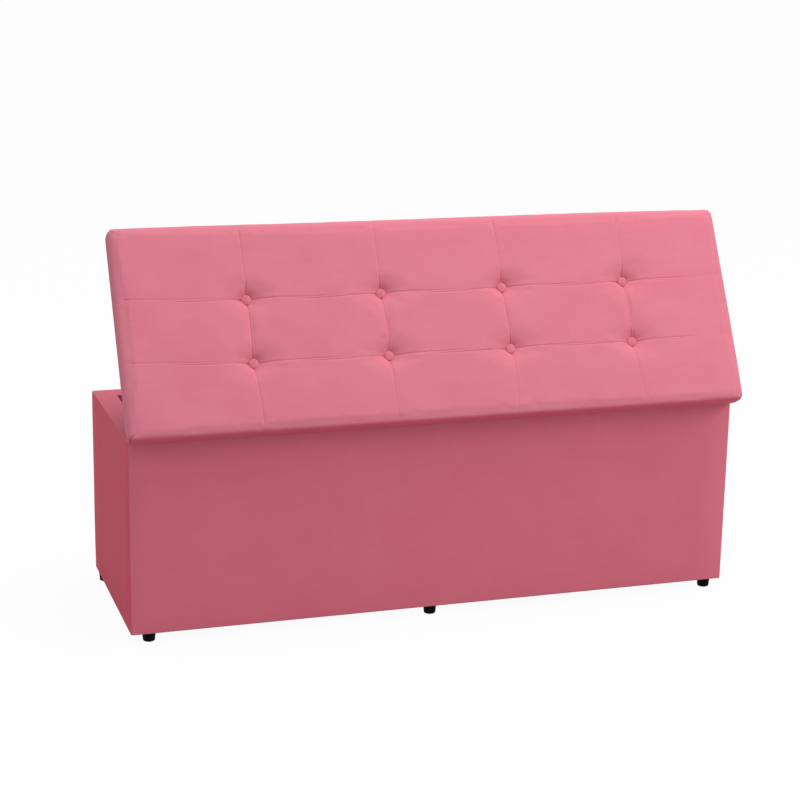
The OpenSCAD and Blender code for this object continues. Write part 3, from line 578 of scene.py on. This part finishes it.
def seam_relief(x, y):
    """Sharp relief of the folded seams, with the pleats beside them and the puckers at the buttons."""
    relief = np.zeros_like(x)
    low_row, high_row = ROWS
    for k, column in enumerate(COLUMNS):
        d = x - column
        between = smoothly((high_row - low_row) / 2 - np.abs(y - ROWS_MIDDLE), 4, 18)
        upper = smoothly(y, high_row + 8, high_row + 22)
        lower = smoothly(-y, -low_row + 10, -low_row + 42)
        near = sum(bell(y - row, 26.0) for row in ROWS) * (1 + 0.9 * smoothly(y, high_row, high_row + 14))
        share = np.where(y < low_row, 0.55 * lower, np.where(y > high_row, 0.65 * upper, 0.75))
        relief += fold(d, 1.2, 1.4) * share + fold(d, 1.9, 1.5) * near
        pair = between * (0.65 + 0.35 * math.cos(2.1 * k)) + 0.5 * upper * np.exp(-(y - high_row - 20) / 45)
        relief += pair * (0.25 * bell(d - 2.4, 1.4) + fold(d - 4.8, 0.8, 1.1))
    for row in ROWS:
        for m, (start, end) in enumerate(SPANS):
            t = (x - start) / (end - start)
            inside = (t > 0) & (t <= 1)
            bow = 4 * t * (1 - t)
            fade_out = 1 - smoothly(t, 0.50, 0.72) if m else 0.75 - 0.25 * t
            fade_in = smoothly(t, 0.28, 0.50) if m < len(SPANS) - 1 else 0.8 * (1 - t)
            depth = 1.4 + 0.7 * bell(np.minimum(t, 1 - t) * (end - start), 24.0)
            relief += inside * (fold(y - row - 1.8 * bow, depth, 1.3) * fade_out
                                + fold(y - row + 2.8 * bow, depth, 1.3) * fade_in
                                + 0.25 * bell(y - row, 2.0) * np.minimum(fade_in, fade_out))
    for count, button in enumerate(BUTTONS, 1):
        r, angle = around_button(x, y, button)
        pucker = np.cos(angle * 8 + count * 1.7) * 0.6 + np.cos(angle * 5 - count * 2.3) * 0.4
        relief += 0.5 * pucker * bell(r - 17.5, 6.5)
    return relief


def corner_pleats(x, y):
    """One folded pleat down each corner of the pad, its upper layer a little proud."""
    a, b, m = past_core(x, y)
    off = (np.degrees(corner_turn(a, b, m)) - 50 - 0.25 * (m - 40)) * 0.5
    length = smoothly(m, 16, 30) * (1 - smoothly(m, 70, 90)) * (np.minimum(a, b) > 0)
    proud = np.where(off > 0, np.exp(-off / 9.0), 0.0)
    return (fold(off, 4.0, 1.7) + 1.2 * proud) * length


def sheet_wobble(x, y):
    """Sideways wander of the seams, so that none runs dead straight."""
    shift_x, shift_y = np.zeros_like(x), np.zeros_like(y)
    for k, column in enumerate(COLUMNS):
        pinned = 1 - sum(bell(y - row, 18.0) for row in ROWS)
        sway = 1.2 * np.sin((y - ROWS_MIDDLE) / 41.0 + k * 1.9) * pinned
        lean = UPPER_LEAN[k] * np.maximum(y - ROWS[1] - 12, 0) + LOWER_LEAN[k] * np.maximum(ROWS[0] - 12 - y, 0)
        shift_x += (sway + lean) * bell(x - column, 32.0)
    first, last = SPANS[0], SPANS[-1]
    left_end = np.clip((first[1] - x) / (first[1] - first[0]), 0, 1)
    right_end = np.clip((x - last[0]) / (last[1] - last[0]), 0, 1)
    for k, row in enumerate(ROWS):
        by_row = bell(y - row, 30.0)
        for start, end in SPANS:
            t = np.clip((x - start) / (end - start), 0, 1)
            shift_y += ROW_ARCH[k] * np.sin(math.pi * t) ** 2 * ((x > start) & (x <= end)) * by_row
        shift_y += (LEFT_LIFT[k] * left_end + RIGHT_LIFT[k] * right_end) * by_row
    return shift_x, shift_y


def padding_depth(x, y):
    """How far a sheet coordinate lies down the side, from 0 on top to 1 at the hem."""
    return past_core(x, y)[2] / SKIRT


def on_top(depth):
    """1 on top of the pad, fading out down its rolled edge."""
    return 1 - smoothly(depth, 0.20, 0.44)


def corner_slack(x, y):
    """How the cover's outline wanders: fuller at its right end, pulled in at its left and along the far edge."""
    depth = padding_depth(x, y)
    drawn_in = 4.0 + 2.5 * smoothly(x, -600, -200) + 2.0 * smoothly(x, 200, PAD_HALF)
    drawn_in *= smoothly(y, ROWS[1] + 25, PAD_FRONT - 20) * (1 - smoothly(depth, 0.35, 0.6))
    fuller = 3.0 * smoothly(x, COLUMNS[3] + 20, PAD_HALF - 15) - 1.5 * smoothly(-x, -COLUMNS[0] + 20, PAD_HALF - 15)
    return np.stack([fuller * (1 - smoothly(depth, 0.75, 0.95)), -drawn_in, np.zeros_like(x)], -1)


def settle_cover():
    """Cloth run on a coarse copy of the cover: held at the buttons and the hem, blown up by the stuffing."""
    cell, frames, seam_hold = 8.0, 20, 0.12
    least_out, most_out = -0.4, 3.0
    reach = SKIRT * 0.52
    xs = spread(-CORE_X - reach, CORE_X + reach, cell)
    ys = spread(CORE_LOW - reach, CORE_HIGH + reach, cell)
    x, y = np.meshgrid(xs, ys)
    depth = padding_depth(x, y)
    start = lid_skin(x, y)
    start = start + skin_normals(start) * (pillow_relief(x, y) * on_top(depth))[..., None]
    mesh = mesh_of("settling_cover", start, grid_faces(start))
    sheet = add_object("settling_cover", mesh)
    to_button = np.min([around_button(x, y, button)[0] for button in BUTTONS], axis=0)
    to_seam = np.minimum(nearest(x, COLUMNS), nearest(y, ROWS))
    held = np.where((to_button < 15) | (depth > 0.3), 1.0, np.where(to_seam < 5, seam_hold, 0.0)).ravel()
    group = sheet.vertex_groups.new(name="held")
    for weight in (seam_hold, 1.0):
        group.add([int(k) for k in np.flatnonzero(held == weight)], weight, "REPLACE")
    cloth = sheet.modifiers.new("cloth", "CLOTH")
    cloth.collision_settings.use_collision = False
    cloth.point_cache.frame_start, cloth.point_cache.frame_end = 1, frames
    cloth.settings.effector_weights.gravity = 0.0
    for name, value in dict(quality=6, mass=0.25, tension_stiffness=18.0, compression_stiffness=18.0,
                            shear_stiffness=6.0, bending_stiffness=0.4, air_damping=4.0, use_pressure=True,
                            uniform_pressure_force=1.5, shrink_min=-0.004, vertex_group_mass="held").items():
        setattr(cloth.settings, name, value)
    for frame_number in range(1, frames + 1):
        scene.frame_set(frame_number)
    settled = sheet.evaluated_get(bpy.context.evaluated_depsgraph_get()).data
    places = np.empty(len(settled.vertices) * 3)
    settled.vertices.foreach_get("co", places)
    moved = places.reshape(start.shape) / MM - start
    bpy.data.objects.remove(sheet)
    bpy.data.meshes.remove(mesh)
    scene.frame_set(1)
    normals = skin_normals(start)
    out = np.sum(moved * normals, axis=-1)
    print("cover settled: outwards %.2f to %.2f mm, mean %.2f mm" % (out.min(), out.max(), out.mean()))
    moved = moved + normals * (np.clip(out, least_out, most_out) - out)[..., None]

    def swell(at_x, at_y):
        u = np.clip((at_x - xs[0]) / (xs[1] - xs[0]), 0, len(xs) - 1.001)
        v = np.clip((at_y - ys[0]) / (ys[1] - ys[0]), 0, len(ys) - 1.001)
        i, j = u.astype(int), v.astype(int)
        s, t = (u - i)[..., None], (v - j)[..., None]
        near = moved[j, i] * (1 - s) + moved[j, i + 1] * s
        far = moved[j + 1, i] * (1 - s) + moved[j + 1, i + 1] * s
        return (near * (1 - t) + far * t) * (1 - smoothly(padding_depth(at_x, at_y), 0.16, 0.34))[..., None]

    return swell


def lid_surface(x, y, swell):
    """The finished outer surface of the tufted cover at sheet coordinates."""
    shift_x, shift_y = sheet_wobble(x, y)
    places = lid_skin(x + shift_x, y + shift_y)
    normals = skin_normals(places)
    depth = padding_depth(x, y)
    end_pillow = np.clip((x - COLUMNS[-1] - 20) / (PAD_HALF - COLUMNS[-1] - 20), 0, 1)
    low_pillow = np.clip((ROWS[0] - 10 - y) / (ROWS[0] - 10 - PAD_BACK), 0, 1)
    soft = (pillow_relief(x, y) - 4.0 * end_pillow ** 2 - 2.5 * low_pillow ** 1.6) * on_top(depth)
    sharp = seam_relief(x, y) * (1 - smoothly(depth, 0.10, 0.36))
    uneven = 0.7 * ripple(x, y, 11, 7, 90, 260) * (1 - smoothly(depth, 0.3, 0.55))
    sides = 0.6 * ripple(x, y, 5, 6, 40, 120) * smoothly(depth, 0.2, 0.35) * (1 - smoothly(depth, 0.5, 0.62))
    places = places + normals * (soft + sharp + uneven + sides + corner_pleats(x, y))[..., None]
    places = places + corner_slack(x, y)
    return places if swell is None else places + swell(x, y)


def lid_stations():
    """Stations of the cover's grid, close together at the seams, the hinge leaves and the rolled edges."""
    skirt = [*spread(3, 60, 4.6), *spread(66, 92, 5.0), 98, 108, SKIRT]
    xs = crowded(COLUMNS, SEAM_STEPS) + crowded(HINGE_XS, [LEAF_HALF])
    ys = crowded(ROWS, SEAM_STEPS)
    fill_x = clear_of(spread(-CORE_X, CORE_X, 9.0), xs, 3.5)
    fill_y = clear_of(spread(CORE_LOW, CORE_HIGH, 9.0), ys, 3.5)
    return (merged(xs, fill_x, beyond(-CORE_X, CORE_X, skirt)),
            merged(ys, fill_y, beyond(CORE_LOW, CORE_HIGH, skirt)))


def make_lid_cover():
    """The tufted cover down to its hem, cut away where the hinge leaves pass under it."""
    cut_z = 1.3
    xs, ys = lid_stations()
    x, y = np.meshgrid(xs, ys)
    places = lid_surface(x, y, settle_cover())
    cx, cy = cell_middles(xs, ys)
    along, profile = HINGE_PROFILE
    under = np.interp(-cut_z, -profile[:, 1], along) / along[-1] * SKIRT
    at_leaf = (nearest(cx, HINGE_XS) < LEAF_HALF) & (CORE_LOW - cy > under)
    cover = make_piece("tufted_lid_cover", places, grid_faces(places, ~at_leaf), "lid", "suede", LID,
                       finish=paler_lid_suede)
    thicken(cover, 1.0)
    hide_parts("lid_cover")


def make_lid_foam():
    """The foam under the cover, from its flat bottom on the board to its crowned top."""
    below_cover, bottom_z, thinnest = 5.0, 16.5, 0.1
    sides, steps = spread(4, 52, 6.0), (0, 6, 12, 20, 30)
    xs = merged(crowded(COLUMNS, steps), spread(-CORE_X, CORE_X, 18), beyond(-CORE_X, CORE_X, sides), least=2.5)
    ys = merged(crowded(ROWS, steps), spread(CORE_LOW, CORE_HIGH, 16), beyond(CORE_LOW, CORE_HIGH, sides), least=2.5)
    x, y = np.meshgrid(xs, ys)
    top = lid_skin(x, y)
    soft = np.minimum(pillow_relief(x, y), 0.0) * (1 - smoothly(padding_depth(x, y), 0.05, 0.4))
    top = top + skin_normals(top) * (soft - below_cover)[..., None] + corner_slack(x, y)
    top[..., 2] = np.maximum(top[..., 2], bottom_z + thinnest)
    bottom = top.copy()
    bottom[..., 2] = bottom_z
    upper, count = grid_faces(top), x.size
    lower = flipped([tuple(count + k for k in face) for face in upper])
    index = np.arange(count).reshape(x.shape)
    rim = [*index[0], *index[1:, -1], *index[-1, -2::-1], *index[-2:0:-1, 0]]
    wall = [(b, count + b, count + a, a) for a, b in zip(rim[-1:] + rim, rim)]
    piece = make_piece("lid_foam_block", [top, bottom], upper + lower + wall, "lid", "foam", LID)
    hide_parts("lid_foam")


# Turned pieces


def turned(profile, steps, ruffle=None):
    """Points and faces of a profile turned about Z, its ends closed where they meet the axis."""
    points, rings, faces = [], [], []
    for r, z in profile:
        turns = [2 * math.pi * k / steps for k in range(steps)] if r > 1e-6 else [0.0]
        rings.append([len(points) + k for k in range(len(turns))])
        for angle in turns:
            reach = r * (ruffle(angle, r, z) if ruffle else 1.0)
            points.append((reach * math.cos(angle), reach * math.sin(angle), z))
    for lower, upper in zip(rings, rings[1:]):
        for k in range(steps):
            n = (k + 1) % steps
            if len(lower) == 1:
                faces.append((lower[0], upper[n], upper[k]))
            elif len(upper) == 1:
                faces.append((lower[k], lower[n], upper[0]))
            else:
                faces.append((lower[k], lower[n], upper[n], upper[k]))
    return np.array(points), faces


def gather(parts):
    """Joins point and face lists into one."""
    points, faces, start = [], [], 0
    for some, few in parts:
        points.append(np.asarray(some, float).reshape(-1, 3))
        faces += [tuple(start + k for k in face) for face in few]
        start += len(points[-1])
    return np.concatenate(points), faces


def make_buttons():
    """Domed buttons covered in suede, each a little different, pressed into the padding."""
    radius, height, shown, sunk, lean = BUTTON_D / 2, 6.0, 0.94, 1.4, 0.05
    profile = [(0, -0.6), (6.5, -0.6), (8.5, -0.4), (10.4, 0.1), (11.5, 0.9), (11.95, 1.8), (11.8, 2.7), (11.2, 3.5),
               (10.2, 4.15), (8.8, 4.75), (7.0, 5.25), (5.0, 5.62), (3.0, 5.85), (1.5, 5.96), (0, height)]
    for name, replaced, row, seed in (("upper_buttons", "upper_row_buttons", ROWS[1], 3),
                                      ("lower_buttons", "lower_row_buttons", ROWS[0], 8)):
        random = np.random.default_rng(seed)
        parts = []
        for column in COLUMNS:
            folds = random.uniform(0, 2 * math.pi, 3)

            def ruffle(angle, r, z, folds=folds):
                edge = max(0.0, (r / radius - 0.75) / 0.25) * (1 if z < height / 2 else 0.25)
                return 1 + edge * 0.018 * (math.cos(7 * angle + folds[0]) + 0.7 * math.cos(11 * angle + folds[1]))

            points, faces = turned(profile, 48, ruffle)
            tilt = Matrix.Rotation(random.uniform(-lean, lean), 3, "X") @ Matrix.Rotation(
                random.uniform(-lean, lean), 3, "Y")
            points = points * np.array([shown, shown, 1.0]) @ np.array(tilt).T
            parts.append((points + np.array([column, row, SEAT_Z - sunk]), faces))
        points, faces = gather(parts)
        piece = make_piece(name, points, faces, "lid", "button_suede", LID)
        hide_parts(replaced)


def make_feet():
    """Moulded feet: a slight taper, rounded edges and the screw's recess in the sole."""
    recess = [(2.2, 14.0), (4.3, 14.0), (4.5, 13.6), (4.5, 1.2), (5.2, 0.35), (6.4, 0.0)]
    outside = [(4.0, 0.0), (3.0, 0.2), (2.2, 0.8), (1.7, 1.8), (1.3, 6.0), (0.7, 13.0), (0.1, 19.0), (0.0, 23.3),
               (0.3, 23.8), (0.9, 24.0)]
    for name in FEET:
        low, high = corners(name)
        radius = (high[0] - low[0]) / 2
        profile = recess + [(radius - inset, z) for inset, z in outside] + [(2.2, 24.0), (2.2, 14.0)]
        points, faces = turned(profile, 64)
        points = points + np.array([(low[0] + high[0]) / 2, (low[1] + high[1]) / 2, 0.0])
        piece = make_piece(name + "_moulding", points, faces, "base", "black_plastic")
        edges = piece.modifiers.new("smooth_edges", "BEVEL")
        edges.width, edges.segments, edges.limit_method = 0.2 * MM, 2, "ANGLE"
        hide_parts(name)


# The box


def stacked_loops(half_x, half_y, profile, longs, shorts, arc_steps=6):
    """Rounded rectangles round the box's middle, one for each inset, height and corner radius of a profile."""
    loops = []
    for inset, z, radius in profile:
        hx, hy = half_x - inset, half_y - inset
        sides = ([(s, -hy) for s in longs], [(hx, s) for s in shorts],
                 [(s, hy) for s in reversed(longs)], [(-hx, s) for s in reversed(shorts)])
        loop = []
        for k, ((sx, sy), side) in enumerate(zip(CORNERS, sides)):
            for step in range(arc_steps + 1):
                angle = math.radians(180 + 90 * k + 90 * step / arc_steps)
                loop.append((sx * (hx - radius) + radius * math.cos(angle),
                             sy * (hy - radius) + radius * math.sin(angle)))
            loop += side
        loops.append([(x, y + BOX_MIDDLE_Y, z) for x, y in loop])
    return np.array(loops)


def pushed_out(rings, half_x, half_y, amount):
    """The rings with the points of their flat walls moved outwards."""
    x, y = rings[..., 0], rings[..., 1] - BOX_MIDDLE_Y
    outward = np.stack([np.where(np.abs(x) > half_x - 0.01, np.sign(x), 0.0),
                        np.where(np.abs(y) > half_y - 0.01, np.sign(y), 0.0), np.zeros_like(x)], -1)
    return rings + outward * amount[..., None]


def make_box_cover():
    """The suede pulled over the box: under the bottom, up the sides, over the rim and down inside."""
    leaf_edges = crowded(HINGE_XS, [LEAF_HALF])
    longs = merged(leaf_edges, clear_of(spread(-640, 640, 20), leaf_edges, 4))
    notch_in, hem_z = LEAF_REACH - 2.8, 422.6
    under = [(34, 0), (26, 0), (14, 0), (6, 0), (2.6, 0.15), (1.0, 0.7), (0.2, 2.0), (0, 4)]
    over = [(0, 5.5), (0.15, 3.2), (0.7, 1.4), (1.9, 0.35), (3.6, 0), (10, 0), (18, 0), (notch_in, 0), (36, 0),
            (44, 0)]
    inside = [(47.6, 0.1), (49.2, 0.8), (50.1, 2.2), (WALL, 4.5), (WALL, 12), (WALL, 22), (WALL, RIM_Z - hem_z)]
    profile = [(inset, BASE_Z + up, 4) for inset, up in under]
    profile += [(0, z, 4) for z in spread(BASE_Z + 16, RIM_Z - 16, 20)]
    profile += [(inset, RIM_Z - down, 4) for inset, down in over]
    profile += [(inset, RIM_Z - down, 3) for inset, down in inside]
    rings = stacked_loops(HALF_WIDTH, HALF_DEPTH, profile, longs, spread(-170, 170, 20))
    x, y, z = rings[..., 0], rings[..., 1], rings[..., 2]
    on_wall = np.array([1.0 if inset == 0 else 0.0 for inset, _, _ in profile])[:, None]
    wall = on_wall * smoothly(z, BASE_Z + 6, BASE_Z + 60) * smoothly(-z, -RIM_Z + 6, -RIM_Z + 50)
    bulge = wall * (0.45 + 0.45 * ripple(x + y, z, 21, 8, 120, 420))
    rings = pushed_out(rings, HALF_WIDTH, HALF_DEPTH, bulge)
    cells = (rings[:-1] + np.roll(rings[:-1], -1, 1) + rings[1:] + np.roll(rings[1:], -1, 1)) / 4
    notch = (nearest(cells[..., 0], HINGE_XS) < LEAF_HALF) & (cells[..., 2] > RIM_Z - 2.2) & (
        cells[..., 1] < BOX_MIDDLE_Y - HALF_DEPTH + notch_in)
    piece = make_piece("box_cover", rings, grid_faces(rings, ~notch, closed=True), "base", "suede")
    thicken(piece, SUEDE)
    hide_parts("base_cover")
    strip = sum(math.hypot(a[0] - b[0], a[1] - b[1]) for a, b in zip(profile, profile[1:]))
    4 * (HALF_WIDTH + HALF_DEPTH) * MM


def make_lining():
    """Dark cloth on the walls and floor of the well, a little loose, but close round the struts' feet."""
    low, high = corners("well_lining")
    half_x, half_y = (high[0] - low[0]) / 2 - 0.8, (high[1] - low[1]) / 2 - 0.8
    floor_z, top_z = low[2] + 0.8, high[2]
    strut_foot_y, strut_foot_z, turn_in = -127.7, 217.9, 11
    heights = [(0, top_z)] + [(0, z) for z in spread(top_z - 14, floor_z + 26, 24)]
    heights += [(0.4, floor_z + 12), (2.0, floor_z + 5), (5.0, floor_z + 1.6), (turn_in, floor_z + 0.3)]
    profile = [(inset, z, 7) for inset, z in heights]
    rings = stacked_loops(half_x, half_y, profile, spread(-600, 600, 24), spread(-150, 150, 24), 5)
    x, y, z = rings[..., 0], rings[..., 1], rings[..., 2]
    studs = np.hypot(np.hypot(nearest(x, (-half_x, half_x)), y - strut_foot_y), z - strut_foot_z)
    loose = smoothly(-z, -top_z + 6, -top_z + 60) * smoothly(z, floor_z + 4, floor_z + 50) * smoothly(studs, 34, 70)
    sway = loose * (0.6 + 0.6 * ripple(x + y, z * 0.45, 33, 7, 50, 170))
    walls = pushed_out(rings, half_x, half_y, -sway)
    xs = spread(-half_x + turn_in, half_x - turn_in, 24)
    ys = spread(-half_y + turn_in, half_y - turn_in, 24)
    fx, fy = np.meshgrid(xs, ys)
    lift = 0.3 + 0.9 * np.abs(ripple(fx, fy, 9, 8, 70, 220)) * smoothly(
        half_x - turn_in - np.abs(fx), 0, 60) * smoothly(half_y - turn_in - np.abs(fy), 0, 60)
    floor = np.stack([fx, fy + BOX_MIDDLE_Y, floor_z + lift], -1)
    points, faces = gather([(walls, flipped(grid_faces(walls, closed=True))), (floor, grid_faces(floor))])
    piece = make_piece("well_lining_cloth", points, faces, "base", "dark_cloth")
    thicken(piece, 0.7)
    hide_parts("well_lining")
    deep = top_z - floor_z
    2 * (half_x + deep) * MM
    2 * (half_y + deep) * MM
    4 * (half_x * half_y + (half_x + half_y) * deep) * MM ** 2


def make_staples(name, walk, z, body, at=None):
    """Flat-topped staples on a walk: their crowns lie on the cloth with the legs going in."""
    half, thick, wide = 5.0, 0.35, 0.5
    profile = [(-half, 0.0), (-half + 0.4, thick), (half - 0.4, thick), (half, 0.0)]
    outline = [(px, side * wide, pz) for px, pz in profile for side in (-1, 1)]
    sides = flipped([(0, 1, 3, 2), (2, 3, 5, 4), (4, 5, 7, 6), (0, 2, 4, 6), (1, 7, 5, 3), (0, 6, 7, 1)])
    points, faces = gather([([(px * math.cos(angle) - py * math.sin(angle) + x,
                               px * math.sin(angle) + py * math.cos(angle) + y, z - pz) for px, py, pz in outline],
                             sides) for x, y, angle in walk])
    make_piece(name, points, faces, body, "zinc", at, smooth=False, finish=staple_steel)


def edge_walk(half_x, low_y, high_y, step, random):
    """Places along a rectangle's edge, each with its direction, a little uneven."""
    walk = []
    for y in (low_y, high_y):
        for x in spread(-half_x + 30, half_x - 30, step):
            walk.append((x + random.uniform(-4, 4), y + random.uniform(-1, 1), random.uniform(-0.25, 0.25)))
    for x in (-half_x, half_x):
        for y in spread(low_y + 34, high_y - 34, step):
            walk.append((x + random.uniform(-1, 1), y + random.uniform(-4, 4),
                         math.pi / 2 + random.uniform(-0.25, 0.25)))
    return walk


def make_under_lid():
    """Dark cloth stapled under the lid over the turned-in suede."""
    half_x, low_y, high_y = PAD_HALF - 23, 17.5, PAD_FRONT - 23
    leaf_edges = crowded(HINGE_XS, [LEAF_HALF + 1.0])
    bracket_x, bracket_y = (617.9, 648.5), (236.7, 261.4)
    x_lines = leaf_edges + [side * v for v in bracket_x for side in (-1, 1)]
    y_lines = [LEAF_REACH + 1.0, *bracket_y]
    xs = merged(x_lines, clear_of(spread(-half_x, half_x, 16), x_lines, 4), [-half_x + 4, half_x - 4])
    ys = merged(y_lines, clear_of(spread(low_y, high_y, 16), y_lines, 4), [low_y + 4, high_y - 4])
    x, y = np.meshgrid(xs, ys)
    edge = np.minimum(np.minimum(half_x - np.abs(x), y - low_y), high_y - y)
    z = 0.42 + 0.75 * smoothly(edge, 5, 16) - 0.25 * np.abs(ripple(x, y, 17, 8, 60, 240)) * smoothly(edge, 14, 40)
    wave = 1.3 * ripple(x, y, 4, 6, 60, 180) * (edge < 0.5)
    px = x + np.where(np.abs(x) > half_x - 0.5, np.sign(x) * wave, 0)
    py = y + np.where((y < low_y + 0.5) | (y > high_y - 0.5), wave, 0)
    places = np.stack([px, py, z], -1)
    mx, my = cell_middles(xs, ys)
    at_leaf = (nearest(mx, HINGE_XS) < LEAF_HALF + 0.5) & (my < LEAF_REACH + 0.5)
    at_bracket = (np.abs(mx) > bracket_x[0]) & (np.abs(mx) < bracket_x[1]) & (my > bracket_y[0]) & (my < bracket_y[1])
    faces = flipped(grid_faces(places, ~(at_leaf | at_bracket)))
    piece = make_piece("lid_under_cloth", places, faces, "lid", "dark_cloth", LID)
    thicken(piece, 0.22)
    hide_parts("lid_underside_cloth")
    walk = edge_walk(half_x - 5, low_y + 5, high_y - 5, 58, np.random.default_rng(14))
    walk = [spot for spot in walk if nearest(spot[0], HINGE_XS) > LEAF_HALF + 8 or spot[1] > 60]
    make_staples("lid_staples", walk, 0.40, "lid", LID)


def make_under_box():
    """Dust cloth stapled under the box, sagging a little between its edges."""
    half_x, half_y, cloth_z = HALF_WIDTH - CLOTH_MARGIN, HALF_DEPTH - CLOTH_MARGIN, BASE_Z - 0.12
    centres = [((a[0] + b[0]) / 2, (a[1] + b[1]) / 2 - BOX_MIDDLE_Y) for a, b in map(corners, FEET)]

    def to_foot(x, y):
        return np.min([np.hypot(x - cx, y - cy) for cx, cy in centres], axis=0)

    xs, ys = spread(-half_x, half_x, 20), spread(-half_y, half_y, 16)
    x, y = np.meshgrid(xs, ys)
    edge = np.minimum(half_x - np.abs(x), half_y - np.abs(y))
    sag = smoothly(edge, 12, 120) * (2.2 + 1.1 * ripple(x, y, 12, 9, 60, 260))
    z = cloth_z + 0.5 * smoothly(edge, 10, 18) - sag
    z = np.where(to_foot(x, y) < 30, np.maximum(z, BASE_Z - 0.05), z)
    places = np.stack([x, y + BOX_MIDDLE_Y, z], -1)
    open_here = to_foot(*cell_middles(xs, ys)) < 15
    faces = flipped(grid_faces(places, ~open_here))
    piece = make_piece("box_dust_cloth", places, faces, "base", "dark_cloth")
    thicken(piece, 0.3)
    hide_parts("dust_cloth")
    2 * half_x * MM
    2 * half_y * MM
    walk = edge_walk(half_x - 5, -half_y + 5, half_y - 5, 62, np.random.default_rng(6))
    walk = [(px, py + BOX_MIDDLE_Y, angle) for px, py, angle in walk if to_foot(px, py) > 26]
    make_staples("box_staples", walk, cloth_z, "base")


# Materials of the frame's own pieces


def pine_grain(name):
    """The axis that a pine piece's grain runs along."""
    if name.startswith(("front_", "back_")):
        return "x"
    return "z" if name == "wall_studs" else "y"


def dress_frame():
    """Gives every node of the frame its finish, the wood with its grain along each piece."""
    slots = {part["node"]: part["material_slot"] for part in frame["record"]["subparts"]}
    for name, node in frame["nodes"].items():
        slot_name = slots[name]
        node.data.materials.clear()
        node.data.materials.append(pines[pine_grain(name)] if slot_name == "pine" else FINISHES[slot_name])
        if slot_name in ("zinc", "black_paint", "black_plastic", "steel") and not node.hide_render:
            soften(node, 0.25 if "screw" in name or "pin" in name else 0.4)


# Light, floor and camera


def seen_plainly(finish):
    """1 for rays that show a surface to the camera, straight or by a reflection, and 0 for its light on others."""
    straight, glossy, clear = (finish.node("LightPath", out="Is %s Ray" % kind)
                               for kind in ("Camera", "Glossy", "Transmission"))
    return (straight + glossy).maths("ADD", clear, use_clamp=True)


def make_stage():
    """A floor that looks as white as the studio around it and still takes a faint shadow."""
    ground = Finish("pale_floor")
    shown = seen_plainly(ground)
    pale = ground.shade(shown, (0.50, 0.50, 0.50), (0.92, 0.92, 0.92))
    matt = ground.node("BsdfDiffuse", {"Color": pale})
    glow = ground.node("Emission", {"Color": (1, 1, 1), "Strength": 1.0})
    both = ground.node("MixShader", {0: shown * 0.955, 1: matt, 2: glow})
    ground.node("OutputMaterial", {"Surface": both})
    reach = 60.0 / MM
    mesh = mesh_of("studio_floor", [(x * reach, y * reach, 0) for x, y in CORNERS], [(0, 1, 2, 3)])
    mesh.materials.append(ground.owner)
    floor = add_object("studio_floor", mesh)

    sky = Finish("studio", "worlds")
    soft = sky.node("Background", {"Color": (0.98, 0.985, 1.0), "Strength": 0.65})
    white = sky.node("Background", {"Color": (1, 1, 1), "Strength": 1.0})
    mixed = sky.node("MixShader", {0: seen_plainly(sky), 1: soft, 2: white})
    sky.node("OutputWorld", {"Surface": mixed})
    scene.world = sky.owner


def make_lamp(name, place, size, power):
    """A softbox that faces the middle of the bench."""
    aim = Vector((0.0, -0.2, 0.5))
    lamp = bpy.data.lights.new(name, "AREA")
    lamp.shape = "RECTANGLE"
    lamp.size, lamp.size_y = size
    lamp.energy = power
    holder = add_object(name, lamp)
    holder.location = place
    holder.rotation_euler = (aim - Vector(place)).to_track_quat("-Z", "Y").to_euler()


def make_camera():
    """The photograph's place and angle, for an 800 by 800 picture."""
    focal_px, picture_px, place = 2004.97, 800, Vector((-1.4040, -4.2221, 1.6260))
    yaw, pitch, roll_angle = math.radians(17.9745), math.radians(14.7974), math.radians(0.9894)
    ahead = Vector((math.sin(yaw) * math.cos(pitch), math.cos(yaw) * math.cos(pitch), -math.sin(pitch)))
    right = Vector((math.cos(yaw), -math.sin(yaw), 0))
    up = right.cross(ahead)
    tilted_right = right * math.cos(roll_angle) + up * math.sin(roll_angle)
    tilted_up = up * math.cos(roll_angle) - right * math.sin(roll_angle)
    lens = bpy.data.cameras.new("photo_camera")
    lens.sensor_width = 36.0
    lens.lens = focal_px * lens.sensor_width / picture_px
    lens.clip_end = 200.0
    camera = add_object("photo_camera", lens)
    rotation = Matrix((tilted_right, tilted_up, -ahead)).transposed().to_4x4()
    camera.matrix_world = Matrix.Translation(place) @ rotation
    scene.camera = camera


make_camera()
make_stage()
make_lamp("overhead_softbox", (0.3, -0.3, 3.8), (2.8, 1.2), 44.0)
make_lamp("right_softbox", (3.2, -2.2, 2.8), (2.0, 1.6), 61.0)

dress_frame()
make_box_cover()
make_lining()
make_under_box()
make_feet()
make_lid_cover()
make_lid_foam()
make_under_lid()
make_buttons()

scene.view_settings.view_transform = "Standard"
